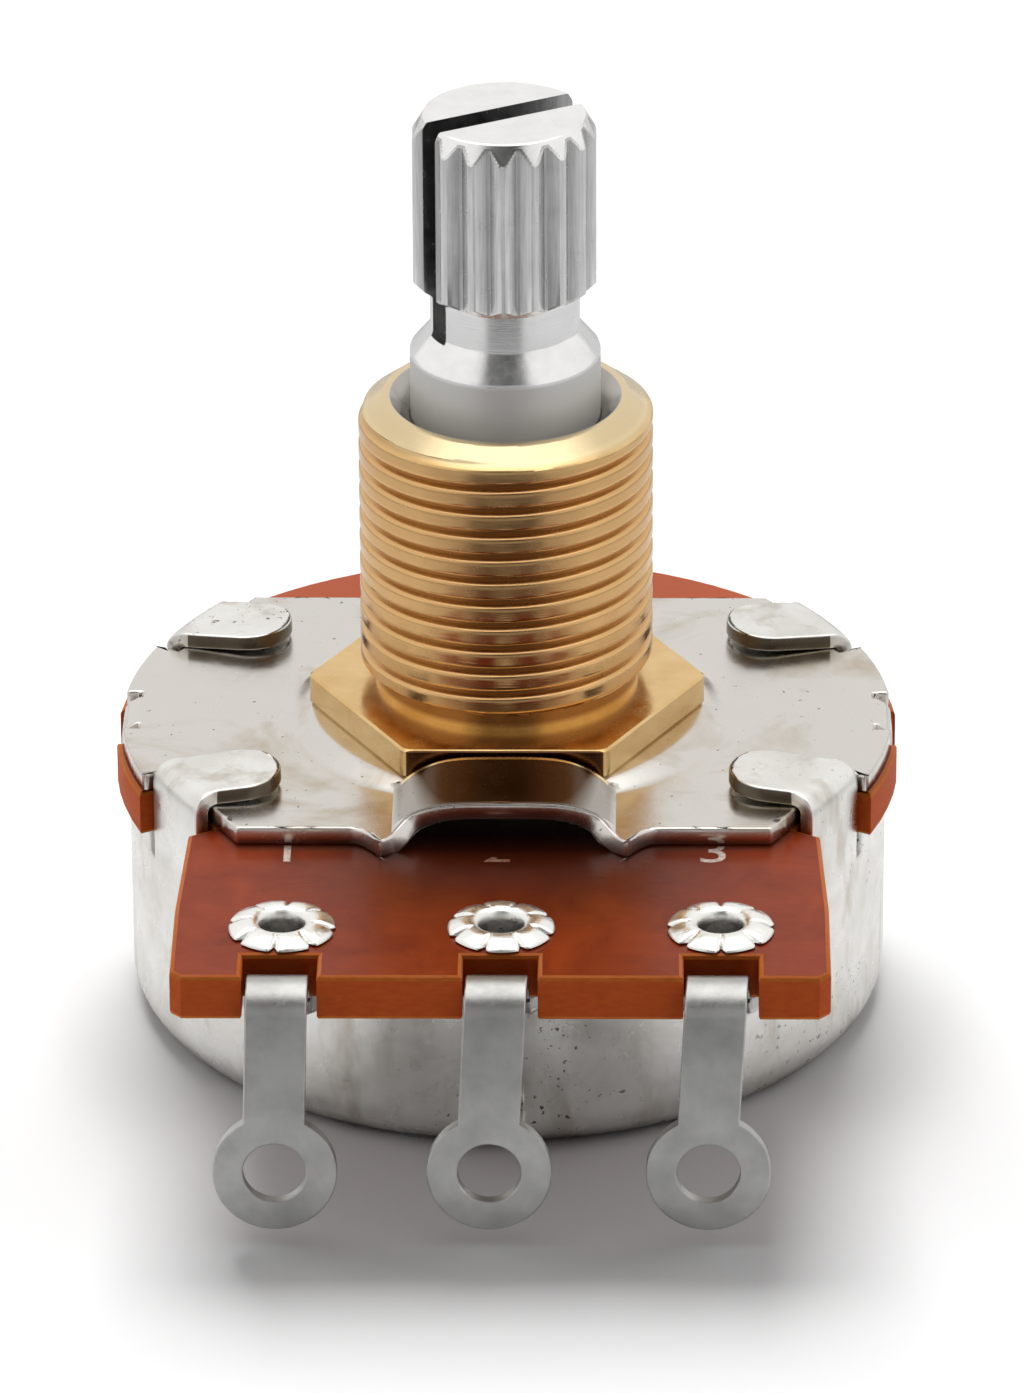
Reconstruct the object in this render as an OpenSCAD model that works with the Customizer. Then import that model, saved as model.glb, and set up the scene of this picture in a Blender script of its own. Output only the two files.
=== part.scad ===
// Rotary potentiometer with a split spline shaft, a threaded bushing and three solder lugs.
// Millimetres. The origin is on the shaft axis, on the underside of the can.
// The shaft points to +Z and the solder lugs stand on the -Y side.

/* [Can] */
// Outside diameter of the drawn can
can_d = 24.2; // [23.4:0.1:24.8]
// Height of the can from its underside to its rim
can_h = 7.4; // [6.8:0.1:9.5]
// Sheet thickness of the can
can_wall = 0.5; // [0.4:0.05:0.6]
// Outer radius between the floor and the wall of the can
can_corner_r = 1.2; // [0.9:0.1:1.6]
// Depth of the cut in the front rim, where the conductors pass
rim_relief = 1.2; // [0.9:0.1:1.8]
// Half angle of the cut in the front rim
rim_relief_angle = 50; // [48:1:54]

/* [Can tabs] */
// Width of each folding tab
tab_w = 2.9; // [2.4:0.1:3.3]
// Angle of each tab from the side axis
tab_angle = 30; // [28:0.5:32]
// Direction in which a folded tab lies, from the side axis
tab_lay_angle = 13; // [8:1:30]
// Inner radius of the fold
tab_fold_r = 0.2; // [0.15:0.05:0.25]
// How much narrower a tab is at its round tip, on each side
tab_taper = 0.1; // [0.05:0.05:0.4]
// Reach of a folded tab, from the fold to the centre of its tip
tab_reach = 1.5; // [1:0.1:2.2]
// Angle by which a tab springs back off the plate
tab_lift = 3; // [1:0.5:5]
// Width of the slit beside each tab
slit_w = 0.35; // [0.25:0.05:0.5]
// Depth of the slit below the rim
slit_depth = 0.8; // [0.5:0.1:1.2]

/* [Stop] */
// Width of the groove that is pressed into the can wall as a stop
stop_groove_w = 0.9; // [0.7:0.1:1.2]
// Height of the groove, with its round ends
stop_groove_h = 1.7; // [1.4:0.1:2.4]
// How far the stop stands into the can
stop_depth = 1.1; // [0.9:0.05:1.4]
// Travel of the shaft to each side of its middle position
half_travel_angle = 150; // [140:1:152]
// Angle left between the stop arm and the stop at each end of the travel
stop_gap_angle = 0.4; // [0.3:0.05:1]

/* [Wafer] */
// How far the round part of the wafer stands out past the can
wafer_over = 0.4; // [0.3:0.05:0.6]
// Thickness of the wafer
wafer_t = 1.5; // [1.2:0.1:1.8]
// Distance from the middle of an outer solder lug to the side edge
wafer_margin = 3.35; // [3:0.05:3.6]
// How far the front edge stands out from the can
wafer_reach = 5; // [4.8:0.1:6]
// Size of the small corner cuts on the front edge
wafer_corner = 0.35; // [0.2:0.05:0.6]
// Gap between the hole in the wafer and the lip of the bushing
wafer_hole_gap = 0.4; // [0.3:0.05:0.6]
// Depth of each notch in the front edge
notch_depth = 1.45; // [1.3:0.05:1.6]

/* [Solder lugs] */
// Distance from lug to lug
lug_pitch = 6.75; // [6.5:0.05:7]
// Width of the strip
strip_w = 1.9; // [1.6:0.05:2.1]
// Thickness of the strip
strip_t = 0.45; // [0.35:0.05:0.5]
// Width of the pad round the eyelet hole
lug_pad_w = 0.7; // [0.6:0.05:0.8]
// Width of the solder ring round its hole
ring_w = 0.945; // [0.8:0.005:1.1]
// Diameter of the solder hole
ring_hole_d = 1.95; // [1.6:0.05:2.2]
// Height of the lowest point of the ring above the underside of the can
ring_clear = 0.6; // [0.3:0.05:1]
// Angle by which the hanging strip leans outward
lug_tilt = 3; // [0:0.5:8]
// Sideways drift of the left ring, half of which the lug has at its hook
left_drift = 0.19; // [0:0.01:0.38]
// Sideways drift of the middle ring
middle_drift = 0.35; // [0:0.01:0.38]
// Sideways drift of the right ring
right_drift = 0.37; // [0:0.01:0.38]
// Middle radius of the first bend, under the wafer
low_bend_r = 0.4; // [0.35:0.05:0.5]
// Middle radius of the hook that fills the notch
hook_r = 0.75; // [0.6:0.05:0.85]

/* [Eyelets] */
// Diameter of the eyelet hole through the wafer
eyelet_hole_d = 2; // [1.8:0.05:2.2]
// Distance from the front edge of the wafer to the eyelets
eyelet_inset = 3.15; // [3.1:0.05:3.3]
// How far the crimped star stands out past the hole
star_over = 0.65; // [0.5:0.05:0.75]
// Height of the crimped star
star_h = 0.34; // [0.25:0.01:0.45]
// Wall of the eyelet
eyelet_wall = 0.33; // [0.25:0.01:0.4]
// Number of petals in the star
petals = 8; // [6:1:10]
// Width of the split between two petals
petal_split = 0.14; // [0.1:0.01:0.2]
// How far the lower eyelet head stands out past the hole
eyelet_head_over = 0.5; // [0.35:0.05:0.6]
// Thickness of the lower eyelet head
eyelet_head_t = 0.3; // [0.2:0.05:0.4]

/* [Resistive element] */
// Thickness of the printed films
film_t = 0.1; // [0.08:0.01:0.15]
// Gap between the carbon track and the wall of the can
track_wall_gap = 1; // [0.8:0.1:1.4]
// Gap between the carbon track and the collector ring
track_ring_gap = 0.5; // [0.4:0.05:0.8]
// Angle by which the track runs on past the end of the travel
track_extra_angle = 2; // [1:0.5:4]
// Angle that each silver end pad covers
pad_angle = 12; // [8:1:14]
// Gap between the collector ring and the hole in the wafer
collector_edge = 0.2; // [0.15:0.05:0.3]
// Width of the collector ring
collector_w = 1; // [0.8:0.1:1.2]
// Width of the conductors that run to the eyelets
lead_w = 1.7; // [1.2:0.1:2]

/* [Front plate] */
// How far the round sides of the plate stand out past the can
plate_over = 0.2; // [0.1:0.05:0.4]
// Distance from the foot of the boss to the straight front and back edges
plate_margin = 1.4; // [1.2:0.1:1.6]
// Sheet thickness of the plate
plate_t = 0.6; // [0.5:0.05:0.7]
// Height of the raised boss
boss_h = 0.3; // [0.2:0.05:0.4]
// Radial width of the sloping side of the boss, outside the corners of the flange
boss_slope = 0.55; // [0.3:0.05:0.65]
// Rise of the arch above the flat plate, at the front edge
arch_h = 0.8; // [0.6:0.05:1]
// Rise of the arch at its back edge, beside the flange
arch_back_h = 1.25; // [1:0.05:1.4]
// Half width of the level crown of the arch
arch_crown = 1.5; // [1.2:0.05:2]
// Half width of the arch at its feet
arch_foot = 3.8; // [3.2:0.05:4.2]
// Radius of the small ear at each foot of the arch
ear_r = 0.85; // [0.6:0.05:1]
// How far an ear stands out from the front edge
ear_out = 1; // [0.3:0.05:1.2]
// Width of the tongue that is bent down on each side
tongue_w = 1.9; // [1.5:0.1:2.4]
// Length of the tongue below the plate
tongue_drop = 0.7; // [0.5:0.05:1]
// Place of the stamped mark beside the boss, as an angle from the side axis
mark_angle = 49; // [45:1:55]
// Length of the stamped mark
mark_l = 1.7; // [1.2:0.1:2.2]
// Width of the stamped mark
mark_w = 0.4; // [0.3:0.05:0.5]
// Depth of the stamped mark
mark_depth = 0.15; // [0.1:0.01:0.2]

/* [Bushing] */
// How far the flats of the flange stand out past the thread
flange_step = 0.85; // [0.75:0.05:1]
// Thickness of the flange
hex_t = 1; // [0.8:0.05:1.4]
// Wall of the barrel, from the shaft to the crests of the thread
barrel_wall = 1.65; // [1.5:0.05:1.8]
// Length of the threaded barrel above the flange
barrel_l = 9.8; // [8:0.1:12]
// Distance from one groove of the thread to the next
thread_pitch = 0.794; // [0.6:0.002:1]
// Depth of the grooves
thread_depth = 0.2; // [0.1:0.01:0.3]
// Width of the grooves at the crests
thread_groove_w = 0.44; // [0.3:0.02:0.5]
// Axial length of the bevel at the mouth
mouth_bevel = 0.55; // [0.4:0.05:0.7]
// Width of the rim between the bevel and the countersink
mouth_rim = 0.27; // [0.2:0.01:0.4]
// Radial width of the countersink in the mouth
mouth_sink = 0.6; // [0.4:0.05:0.7]
// Depth of the relief between the barrel and the flange
relief_depth = 0.35; // [0.2:0.05:0.45]
// Axial length of the relief
relief_l = 0.6; // [0.4:0.1:1]
// Step from the thread in to the tail that passes through the plate
tail_step = 0.65; // [0.5:0.05:0.8]
// Width of the lip that is rolled over below the plate
lip_w = 0.65; // [0.5:0.05:0.8]
// Thickness of the rolled lip
lip_t = 0.6; // [0.4:0.05:0.7]

/* [Shaft] */
// Diameter of the part that turns in the bushing
shaft_d = 6; // [5.8:0.05:6.1]
// Length of the shaft above the mouth of the bushing
shaft_out = 9.6; // [8.6:0.1:14]
// Step from the collar in to the tips of the spline
spline_step = 0.1; // [0.05:0.05:0.25]
// Depth of each spline groove
spline_depth = 0.27; // [0.2:0.01:0.32]
// Number of spline teeth
teeth = 18; // [12:1:24]
// Share of the pitch that the flat tip of a tooth takes
tip_share = 0.22; // [0.1:0.01:0.4]
// Length of the splined head
spline_l = 5.95; // [4.5:0.05:6.2]
// Axial length of the bevel round the end
end_bevel = 0.65; // [0.4:0.05:0.8]
// Radial width of the bevel round the end
end_bevel_w = 0.35; // [0.2:0.01:0.4]
// Axial length of the bevel under the splined head
under_bevel = 0.44; // [0.3:0.02:0.6]
// Depth of the neck under the spline, below the collar
neck_depth = 0.65; // [0.55:0.05:0.85]
// Length of the neck
neck_l = 1.2; // [0.8:0.05:1.6]
// Axial length of the cone between the neck and the collar
collar_cone = 0.8; // [0.5:0.05:1]
// Width of the slot that splits the head
slot_w = 0.9; // [0.7:0.05:1]
// Distance that the slot runs on below the neck
slot_over = 0.1; // [0.05:0.05:0.4]
// Direction of the slot in the middle position
slot_angle = 28; // [0:1:45]
// Depth of the groove for the retaining ring
groove_depth = 0.7; // [0.5:0.05:0.9]
// Step from the shaft in to the end that carries the rotor
spigot_step = 0.7; // [0.5:0.05:0.9]
// Depth of the two flats on that end
spigot_cut = 0.6; // [0.4:0.05:0.8]
// Thickness of the riveted head
rivet_t = 0.6; // [0.4:0.05:0.8]
// How far the riveted head stands out past the end of the shaft
rivet_over = 0.6; // [0.4:0.05:0.8]
// Space between the riveted head and the floor of the can
floor_gap = 0.5; // [0.3:0.05:0.8]

/* [Ring and washer] */
// How far the retaining ring stands out past the shaft
clip_over = 1.3; // [1:0.05:1.5]
// Thickness of the retaining ring
clip_t = 0.5; // [0.4:0.05:0.6]
// How far each lip of the retaining ring reaches round the groove
clip_lip = 0.2; // [0.1:0.05:0.4]
// How far the friction washer stands out past the shaft
washer_over = 1.4; // [1.2:0.05:1.6]
// Thickness of the friction washer
washer_t = 0.2; // [0.15:0.01:0.3]

/* [Rotor] */
// Gap between the rotor disc and the stop in the can
rotor_gap = 0.6; // [0.4:0.05:0.9]
// Thickness of the rotor disc
rotor_web = 1.2; // [0.9:0.1:1.5]
// Wall of the rotor hub
hub_wall = 2.2; // [1.8:0.1:2.6]
// Number of ribs under the rotor disc
ribs = 6; // [4:1:8]
// Thickness of each rib
rib_t = 0.9; // [0.7:0.1:1.2]
// Distance of the ribs from the end of the hub and from the edge of the disc
rib_rise = 0.4; // [0.2:0.1:0.8]
// Room for the contact between the rotor and the track
contact_room = 1.5; // [1.3:0.05:1.8]
// Sheet thickness of the contact
contact_t = 0.2; // [0.15:0.01:0.25]
// Gap between the contact and the metal shaft
contact_gap = 0.7; // [0.5:0.05:0.9]
// Width of the flat ring of the contact
contact_w = 1.9; // [1.7:0.05:2.1]
// How far each finger starts inside the edge of that ring
finger_root = 0.7; // [0.5:0.05:0.9]
// Width of one contact finger
finger_w = 0.5; // [0.35:0.05:0.6]
// Space between two fingers
finger_gap = 0.25; // [0.2:0.05:0.35]
// Radius of the rounded finger tip
finger_tip_r = 0.22; // [0.18:0.01:0.25]
// Diameter of the pips that hold the contact
pip_d = 1; // [0.8:0.05:1.2]
// Thickness of the stop plate
stop_t = 0.6; // [0.5:0.05:0.8]
// How far the round part of the stop plate stands out past the hub
stop_over = 0.5; // [0.3:0.05:0.8]

/* [Fits] */
// Gap between the shaft and the bore of the bushing, all round
shaft_fit = 0.03; // [0.02:0.01:0.05]
// Gap between pieces that turn past each other
run_gap = 0.05; // [0.03:0.01:0.08]
// Gap between pieces that are assembled by hand
slip = 0.02; // [0.01:0.01:0.04]
// Gap round the tabs, the tongues and the lugs in their notches
notch_gap = 0.2; // [0.15:0.05:0.3]

/* [Hidden] */

$fn = 96;
eps = 0.01;
far = 40;

// Heights of the stack, from the floor of the can upward
z_rim = can_h;
z_plate = z_rim + wafer_t;
z_face = z_plate + plate_t;
z_seat = z_face + boss_h;
z_flange = z_seat + hex_t;
z_mouth = z_flange + barrel_l;
z_shaft_end = z_mouth + shaft_out;
z_neck_top = z_shaft_end - spline_l;
z_neck_low = z_neck_top - neck_l;
z_collar = z_neck_low - collar_cone;

// Heights of what turns inside the can
z_film = z_rim - film_t;
z_rotor = z_film - contact_room;
z_tail = z_seat - plate_t - lip_t;
z_washer = z_tail - run_gap - washer_t;
z_clip = z_washer - clip_t;
z_rivet = can_wall + floor_gap;
z_stop = z_rivet + rivet_t;
z_hub = z_stop + stop_t;

// The shaft and what is turned or fitted round it
shaft_r = shaft_d / 2;
bore_r = shaft_r + shaft_fit;
spline_r = shaft_r - spline_step;
neck_r = shaft_r - neck_depth;
groove_r = shaft_r - groove_depth;
spigot_r = shaft_r - spigot_step;
spigot_half_flat = spigot_r - spigot_cut;
hub_r = spigot_r + hub_wall;
contact_in_r = shaft_r + contact_gap;
contact_out_r = contact_in_r + contact_w;
pip_r = (contact_in_r + contact_out_r) / 2;
slot_depth = spline_l + neck_l + slot_over;

// The bushing and the boss that it stands on
thread_r = shaft_r + barrel_wall;
tail_r = thread_r - tail_step;
lip_r = tail_r + lip_w;
hex_half_af = thread_r + flange_step;
boss_top_r = hex_half_af / cos(30);
boss_r = boss_top_r + boss_slope;

// The can, its tabs and what lies inside its wall
can_r = can_d / 2;
can_in_r = can_r - can_wall;
tab_half_angle = asin(tab_w / can_d);
tab_tip_r = tab_w / 2 - tab_taper;
tab_seat = can_in_r - notch_gap;
fold_out_r = tab_fold_r + can_wall;
fold_root_r = can_r - fold_out_r;
z_fold = z_face + slip - tab_fold_r;
stop_face_r = can_in_r - stop_depth;
rotor_r = stop_face_r - rotor_gap;

// The plate and the wafer
plate_r = can_r + plate_over;
plate_y = boss_r + plate_margin;
wafer_r = can_r + wafer_over;
wafer_hole_r = lip_r + wafer_hole_gap;
wafer_half_w = lug_pitch + wafer_margin;
wafer_front = can_r + wafer_reach;
eyelet_y = -(wafer_front - eyelet_inset);
notch_w = strip_w + 2 * notch_gap;
notch_back = -(wafer_front - notch_depth);
tongue_seat = plate_r - plate_t - notch_gap / 4;

// The printed films
collector_in_r = wafer_hole_r + collector_edge;
collector_out_r = collector_in_r + collector_w;
track_in_r = collector_out_r + track_ring_gap;
track_out_r = can_in_r - track_wall_gap;
track_end_angle = half_travel_angle + track_extra_angle;

// The eyelets and the lugs
eyelet_r = eyelet_hole_d / 2;
lug_pad_r = eyelet_r + lug_pad_w;
ring_r = ring_hole_d / 2 + ring_w;
ring_z = ring_clear + ring_r;

// Repeats its children on all four quarters
module quarters() {
    for (mx = [0, 1], my = [0, 1])
        mirror([mx, 0, 0]) mirror([0, my, 0]) children();
}

// Flat ring with its underside at z = 0
module flat_ring(outer_r, inner_r, t) {
    difference() {
        cylinder(r = outer_r, h = t);
        translate([0, 0, -eps]) cylinder(r = inner_r, h = t + 2 * eps);
    }
}

// Round end of the shaft with its two flats, as a flat shape
module double_d(gap) {
    intersection() {
        circle(r = spigot_r + gap);
        square([far, 2 * (spigot_half_flat + gap)], center = true);
    }
}

// Flat sector that points to +Y and opens by half_angle to each side
module sector(r, half_angle, steps = 12) {
    polygon(concat([[0, 0]], [for (i = [-steps : steps])
        let (a = 90 + half_angle * i / steps) r / cos(half_angle / steps / 2) * [cos(a), sin(a)]]));
}

// Slot shape with round ends that stands upright
module upright_slot(w, h) {
    square([w, h - w], center = true);
    for (s = [-1, 1]) translate([0, s * (h - w) / 2]) circle(d = w);
}

/* The can */

// Half section of the drawn cup
module cup_section(r, corner, z_low, z_high) {
    difference() {
        translate([0, z_low]) square([r, z_high - z_low]);
        translate([r - corner, z_low]) difference() {
            translate([0, -eps]) square([corner + eps, corner + eps]);
            translate([0, corner]) circle(r = corner);
        }
    }
}

// Half section of the cup with its wall carried up to the height of the tabs and folded inward
module can_section() {
    difference() {
        union() {
            cup_section(can_r, can_corner_r, 0, z_fold);
            translate([fold_root_r, z_fold - eps]) intersection() {
                translate([0, eps]) circle(r = fold_out_r);
                square(fold_out_r + eps);
            }
        }
        cup_section(can_in_r, can_corner_r - can_wall, can_wall, z_fold + eps);
        translate([fold_root_r, z_fold]) circle(r = tab_fold_r);
    }
}

// Flat sector over one tab, widened by a distance to each side at the wall
module tab_sector(widen) {
    rotate(tab_angle - 90) sector(far, tab_half_angle + asin(widen / can_r), 1);
}

// What is cut from the folded wall so that only the tabs are left, with a slit on each side
module between_tabs() {
    translate([0, 0, z_rim]) linear_extrude(far) difference() {
        square(2 * far, center = true);
        quarters() tab_sector(slit_w / 2);
    }
    translate([0, 0, z_rim - slit_depth]) linear_extrude(far) quarters() difference() {
        tab_sector(slit_w);
        tab_sector(0);
    }
}

// Flat end of a tab, which lies over the plate and springs back a little
module tab_flap() {
    root = fold_root_r * [cos(tab_angle), sin(tab_angle)];
    tip = root - tab_reach * [cos(tab_lay_angle), sin(tab_lay_angle)];
    across = tab_tip_r * [-sin(tab_lay_angle), cos(tab_lay_angle)];
    root_arc = [for (i = [-4 : 4]) let (a = tab_angle + i / 4 * tab_half_angle)
        (fold_root_r + slip) * [cos(a), sin(a)]];
    translate([root[0], root[1], z_face + slip])
        rotate(tab_lay_angle) rotate([0, tab_lift, 0]) rotate(-tab_lay_angle)
        translate([-root[0], -root[1], 0]) linear_extrude(can_wall) {
            translate(tip) circle(r = tab_tip_r);
            polygon(concat(root_arc, [tip + across, tip - across]));
        }
}

// Solid or hollow of the stop that is pressed in at the front
module stop_press(grow, reach) {
    z_mid = z_stop + stop_t / 2;
    translate([0, -can_r - (grow > 0 ? -can_wall / 2 : 1), z_mid]) rotate([-90, 0, 0])
        linear_extrude(reach) upright_slot(stop_groove_w + 2 * grow, stop_groove_h + 2 * grow);
}

module rear_can() {
    color("gainsboro") difference() {
        union() {
            difference() {
                rotate_extrude() can_section();
                between_tabs();
                translate([0, 0, z_rim - rim_relief]) linear_extrude(rim_relief + eps)
                    rotate(180) sector(far, rim_relief_angle);
            }
            quarters() tab_flap();
            stop_press(can_wall, stop_depth + can_wall / 2);
        }
        stop_press(0, 1 + stop_depth);
    }
}

/* The wafer and what is printed on it */

// Notch that lets a tab of the can pass
module tab_notch(outward) {
    rotate(tab_angle) translate([tab_seat, -tab_w / 2 - notch_gap])
        square([far, tab_w + notch_gap + outward]);
}

module wafer_outline() {
    half = wafer_half_w;
    difference() {
        union() {
            circle(r = wafer_r);
            polygon([[-half, 0], [-half, -wafer_front + wafer_corner],
                [-half + wafer_corner, -wafer_front], [half - wafer_corner, -wafer_front],
                [half, -wafer_front + wafer_corner], [half, 0]]);
        }
        quarters() tab_notch(notch_gap);
        for (s = [-1, 1]) translate([s * far / 2 + s * tongue_seat, 0])
            square([far, tongue_w + 2 * notch_gap], center = true);
        for (i = [-1 : 1]) translate([i * lug_pitch, notch_back - far / 2])
            square([notch_w, far], center = true);
    }
}

module wafer() {
    color("saddlebrown") translate([0, 0, z_rim]) linear_extrude(wafer_t) difference() {
        wafer_outline();
        circle(r = wafer_hole_r);
        for (i = [-1 : 1]) eyelet_land(i, eyelet_r);
    }
}

// Round land or hole at one of the three eyelets
module eyelet_land(i, r) {
    translate([i * lug_pitch, eyelet_y]) circle(r = r);
}

// Half section of the carbon track, also used for its silver ends
module track_section() {
    translate([track_in_r, 0]) square([track_out_r - track_in_r, film_t]);
}

module carbon_track() {
    color("dimgray") translate([0, 0, z_film]) rotate(90 - track_end_angle)
        rotate_extrude(angle = 2 * track_end_angle) track_section();
}

// Silver pad at one end of the track, with its conductor to the outer eyelet
module silver_pad(side) {
    start = 270 + side * (180 - track_end_angle - pad_angle / 2);
    root = (track_in_r + track_out_r) / 2 * [cos(start), sin(start)];
    goal = [side * lug_pitch, eyelet_y];
    run = goal - root;
    across = lead_w / 2 * [-run[1], run[0]] / norm(run);
    color("silver") translate([0, 0, z_film]) difference() {
        union() {
            rotate(start - pad_angle / 2) rotate_extrude(angle = pad_angle) track_section();
            linear_extrude(film_t)
                polygon([root + across, goal + across, goal - across, root - across]);
            linear_extrude(film_t) eyelet_land(side, lug_pad_r);
        }
        translate([0, 0, -1]) linear_extrude(film_t + 2) eyelet_land(side, eyelet_r);
    }
}

module left_silver_pad() silver_pad(-1);
module right_silver_pad() silver_pad(1);

module collector_ring() {
    color("silver") translate([0, 0, z_film]) linear_extrude(film_t) difference() {
        union() {
            circle(r = collector_out_r);
            translate([-lead_w / 2, eyelet_y]) square([lead_w, -eyelet_y - collector_in_r - eps]);
            eyelet_land(0, lug_pad_r);
        }
        circle(r = collector_in_r);
        eyelet_land(0, eyelet_r);
    }
}

/* Eyelets and solder lugs */

// Tubular rivet: a flat head below the lug and a star of petals crimped on the wafer
module eyelet(i) {
    barrel_r = eyelet_r - slip;
    eyelet_bore_r = barrel_r - eyelet_wall;
    star_r = eyelet_r + star_over;
    z_head = z_film - strip_t;
    color("whitesmoke") translate([i * lug_pitch, eyelet_y, 0]) difference() {
        union() {
            translate([0, 0, z_head - eyelet_head_t])
                cylinder(r = eyelet_r + eyelet_head_over, h = eyelet_head_t);
            translate([0, 0, z_head - eps]) cylinder(r = barrel_r, h = z_plate - z_head + 2 * eps);
            translate([0, 0, z_plate]) cylinder(r1 = star_r, r2 = star_r - star_h / 2, h = star_h);
        }
        translate([0, 0, z_head - 1]) cylinder(r = eyelet_bore_r, h = far);
        translate([0, 0, z_plate + star_h * 0.3])
            cylinder(r1 = eyelet_bore_r, r2 = eyelet_bore_r + star_h, h = star_h);
        for (k = [0 : petals - 1]) rotate((k + 0.5) * 360 / petals)
            translate([barrel_r, -petal_split / 2, z_plate - eps])
            cube([star_r, petal_split, star_h + 1]);
    }
}

module left_eyelet() eyelet(-1);
module middle_eyelet() eyelet(0);
module right_eyelet() eyelet(1);

// Quarter or longer bend of the strip, as a flat shape round its own centre
module bend(r, from, angle) {
    intersection() {
        difference() {
            circle(r = r + strip_t / 2);
            circle(r = r - strip_t / 2);
        }
        rotate(from + angle / 2 - 90) sector(4 * r, angle / 2);
    }
}

// Side view of the strip in the Y-Z plane, from under the eyelet over the hook to the ring
module lug_side() {
    z_mid = z_film - strip_t / 2;
    riser_y = notch_back - notch_gap / 2 - strip_t / 2;
    hook_z = z_mid + low_bend_r;
    hook_y = riser_y - hook_r;
    translate([riser_y + low_bend_r, z_mid - strip_t / 2])
        square([eyelet_y + 2 * lug_pad_r - riser_y - low_bend_r, strip_t]);
    translate([riser_y + low_bend_r, hook_z]) bend(low_bend_r, 180, 90);
    translate([hook_y, hook_z]) bend(hook_r, 0, 180 - lug_tilt);
    translate([hook_y, hook_z]) rotate(-lug_tilt)
        translate([-hook_r - strip_t / 2, -hook_z - 1]) square([strip_t, hook_z + 1]);
}

// Strip between two levels, at which its middle has drifted by low_x and high_x
module slanting_strip(low, low_x, high, high_x) {
    half = strip_w / 2;
    polygon([[low_x - half, low], [low_x + half, low], [high_x + half, high], [high_x - half, high]]);
}

// Front view of the hanging part: the strip and its ring
module lug_front(drift) {
    slanting_strip(ring_z, -drift, z_film, -drift / 2);
    slanting_strip(z_film - eps, -drift / 2, z_film + wafer_t, -drift / 2);
    translate([-drift, ring_z]) circle(r = ring_r);
}

module lug(i, drift) {
    color("lightgray") translate([i * lug_pitch, 0, 0]) difference() {
        union() {
            intersection() {
                rotate([90, 0, 90]) linear_extrude(far, center = true) lug_side();
                union() {
                    translate([0, notch_back, 0]) rotate([90, 0, 0])
                        linear_extrude(far) lug_front(drift);
                    linear_extrude(z_film)
                        slanting_strip(notch_back - eps, -drift / 2, eyelet_y, 0);
                }
            }
            translate([0, eyelet_y, z_film - strip_t]) cylinder(r = lug_pad_r, h = strip_t);
        }
        translate([0, eyelet_y, z_film - strip_t - 1]) cylinder(r = eyelet_r, h = strip_t + 2);
        translate([-drift, 0, ring_z]) rotate([90, 0, 0]) cylinder(d = ring_hole_d, h = far);
    }
}

module left_lug() lug(-1, left_drift);
module middle_lug() lug(0, middle_drift);
module right_lug() lug(1, right_drift);

/* The front plate and the bushing */

// Outline of the flat plate, with the cuts for the four tabs
module plate_outline() {
    difference() {
        intersection() {
            circle(r = plate_r);
            square([far, 2 * plate_y], center = true);
        }
        quarters() tab_notch(far);
    }
    for (s = [-1, 1]) translate([s * arch_foot, ear_r - ear_out - plate_y]) circle(r = ear_r);
}

// Height of the arch at its back edge, at a distance x from its middle
function arch_rise(x) =
    let (u = (abs(x) - arch_crown) / (arch_foot - arch_crown))
    arch_back_h * (u <= 0 ? 1 : u >= 1 ? 0 : (1 + cos(180 * u)) / 2);

// Back profile of the arch, in the X-Z plane, with room below it
module arch_profile(room) {
    steps = 28;
    xs = [for (i = [0 : steps]) arch_foot * (2 * i / steps - 1)];
    polygon(concat([for (x = xs) [x, arch_rise(x)]], [[arch_foot, -room], [-arch_foot, -room]]));
}

// What lies under the arch, which gets lower from the flange to the front edge and beyond
module arch_body(z_base, room) {
    back = hex_half_af + notch_gap / 2;
    run = plate_y - back;
    reach = run + 2 * ear_out;
    translate([0, -back, z_base]) rotate([90, 0, 0])
        linear_extrude(reach, slices = 1, $fn = 0,
            scale = [1, 1 - (1 - arch_h / arch_back_h) * reach / run])
        arch_profile(room);
}

// Tongue that is bent down over the edge of the wafer, with its outer fold rounded
module tongue() {
    x_in = plate_r - plate_t;
    translate([x_in, -tongue_w / 2, z_plate - tongue_drop]) cube([plate_t, tongue_w, tongue_drop]);
    intersection() {
        translate([x_in, 0, z_plate]) rotate([90, 0, 0])
            cylinder(r = plate_t, h = tongue_w, center = true);
        translate([x_in, -tongue_w, z_plate]) cube([plate_t + 1, 2 * tongue_w, plate_t + 1]);
    }
}

module front_plate() {
    color("lightgray") difference() {
        union() {
            difference() {
                intersection() {
                    translate([0, 0, z_plate]) linear_extrude(far) plate_outline();
                    union() {
                        translate([0, 0, z_plate - 1]) cylinder(r = far, h = 1 + plate_t);
                        arch_body(z_face, plate_t);
                    }
                }
                for (s = [0, 1]) mirror([s, 0, 0])
                    translate([plate_r - plate_t, -tongue_w / 2 - slit_w, z_plate - 1])
                    cube([2 * plate_t, tongue_w + 2 * slit_w, plate_t + 2]);
            }
            for (s = [0, 1]) mirror([s, 0, 0]) tongue();
            translate([0, 0, z_face - eps])
                cylinder(r1 = boss_r + eps, r2 = boss_top_r, h = boss_h + eps);
        }
        translate([0, 0, z_plate - eps])
            cylinder(r1 = boss_r - plate_t / 2, r2 = boss_top_r - plate_t / 2, h = boss_h + eps);
        translate([0, 0, z_plate - 1]) cylinder(r = tail_r + slip, h = far);
        arch_body(z_plate, 1);
        rotate(mark_angle) translate([boss_r + mark_l / 2, 0, z_face - mark_depth + 1])
            rotate(70) cube([mark_l, mark_w, 2], center = true);
    }
}

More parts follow.
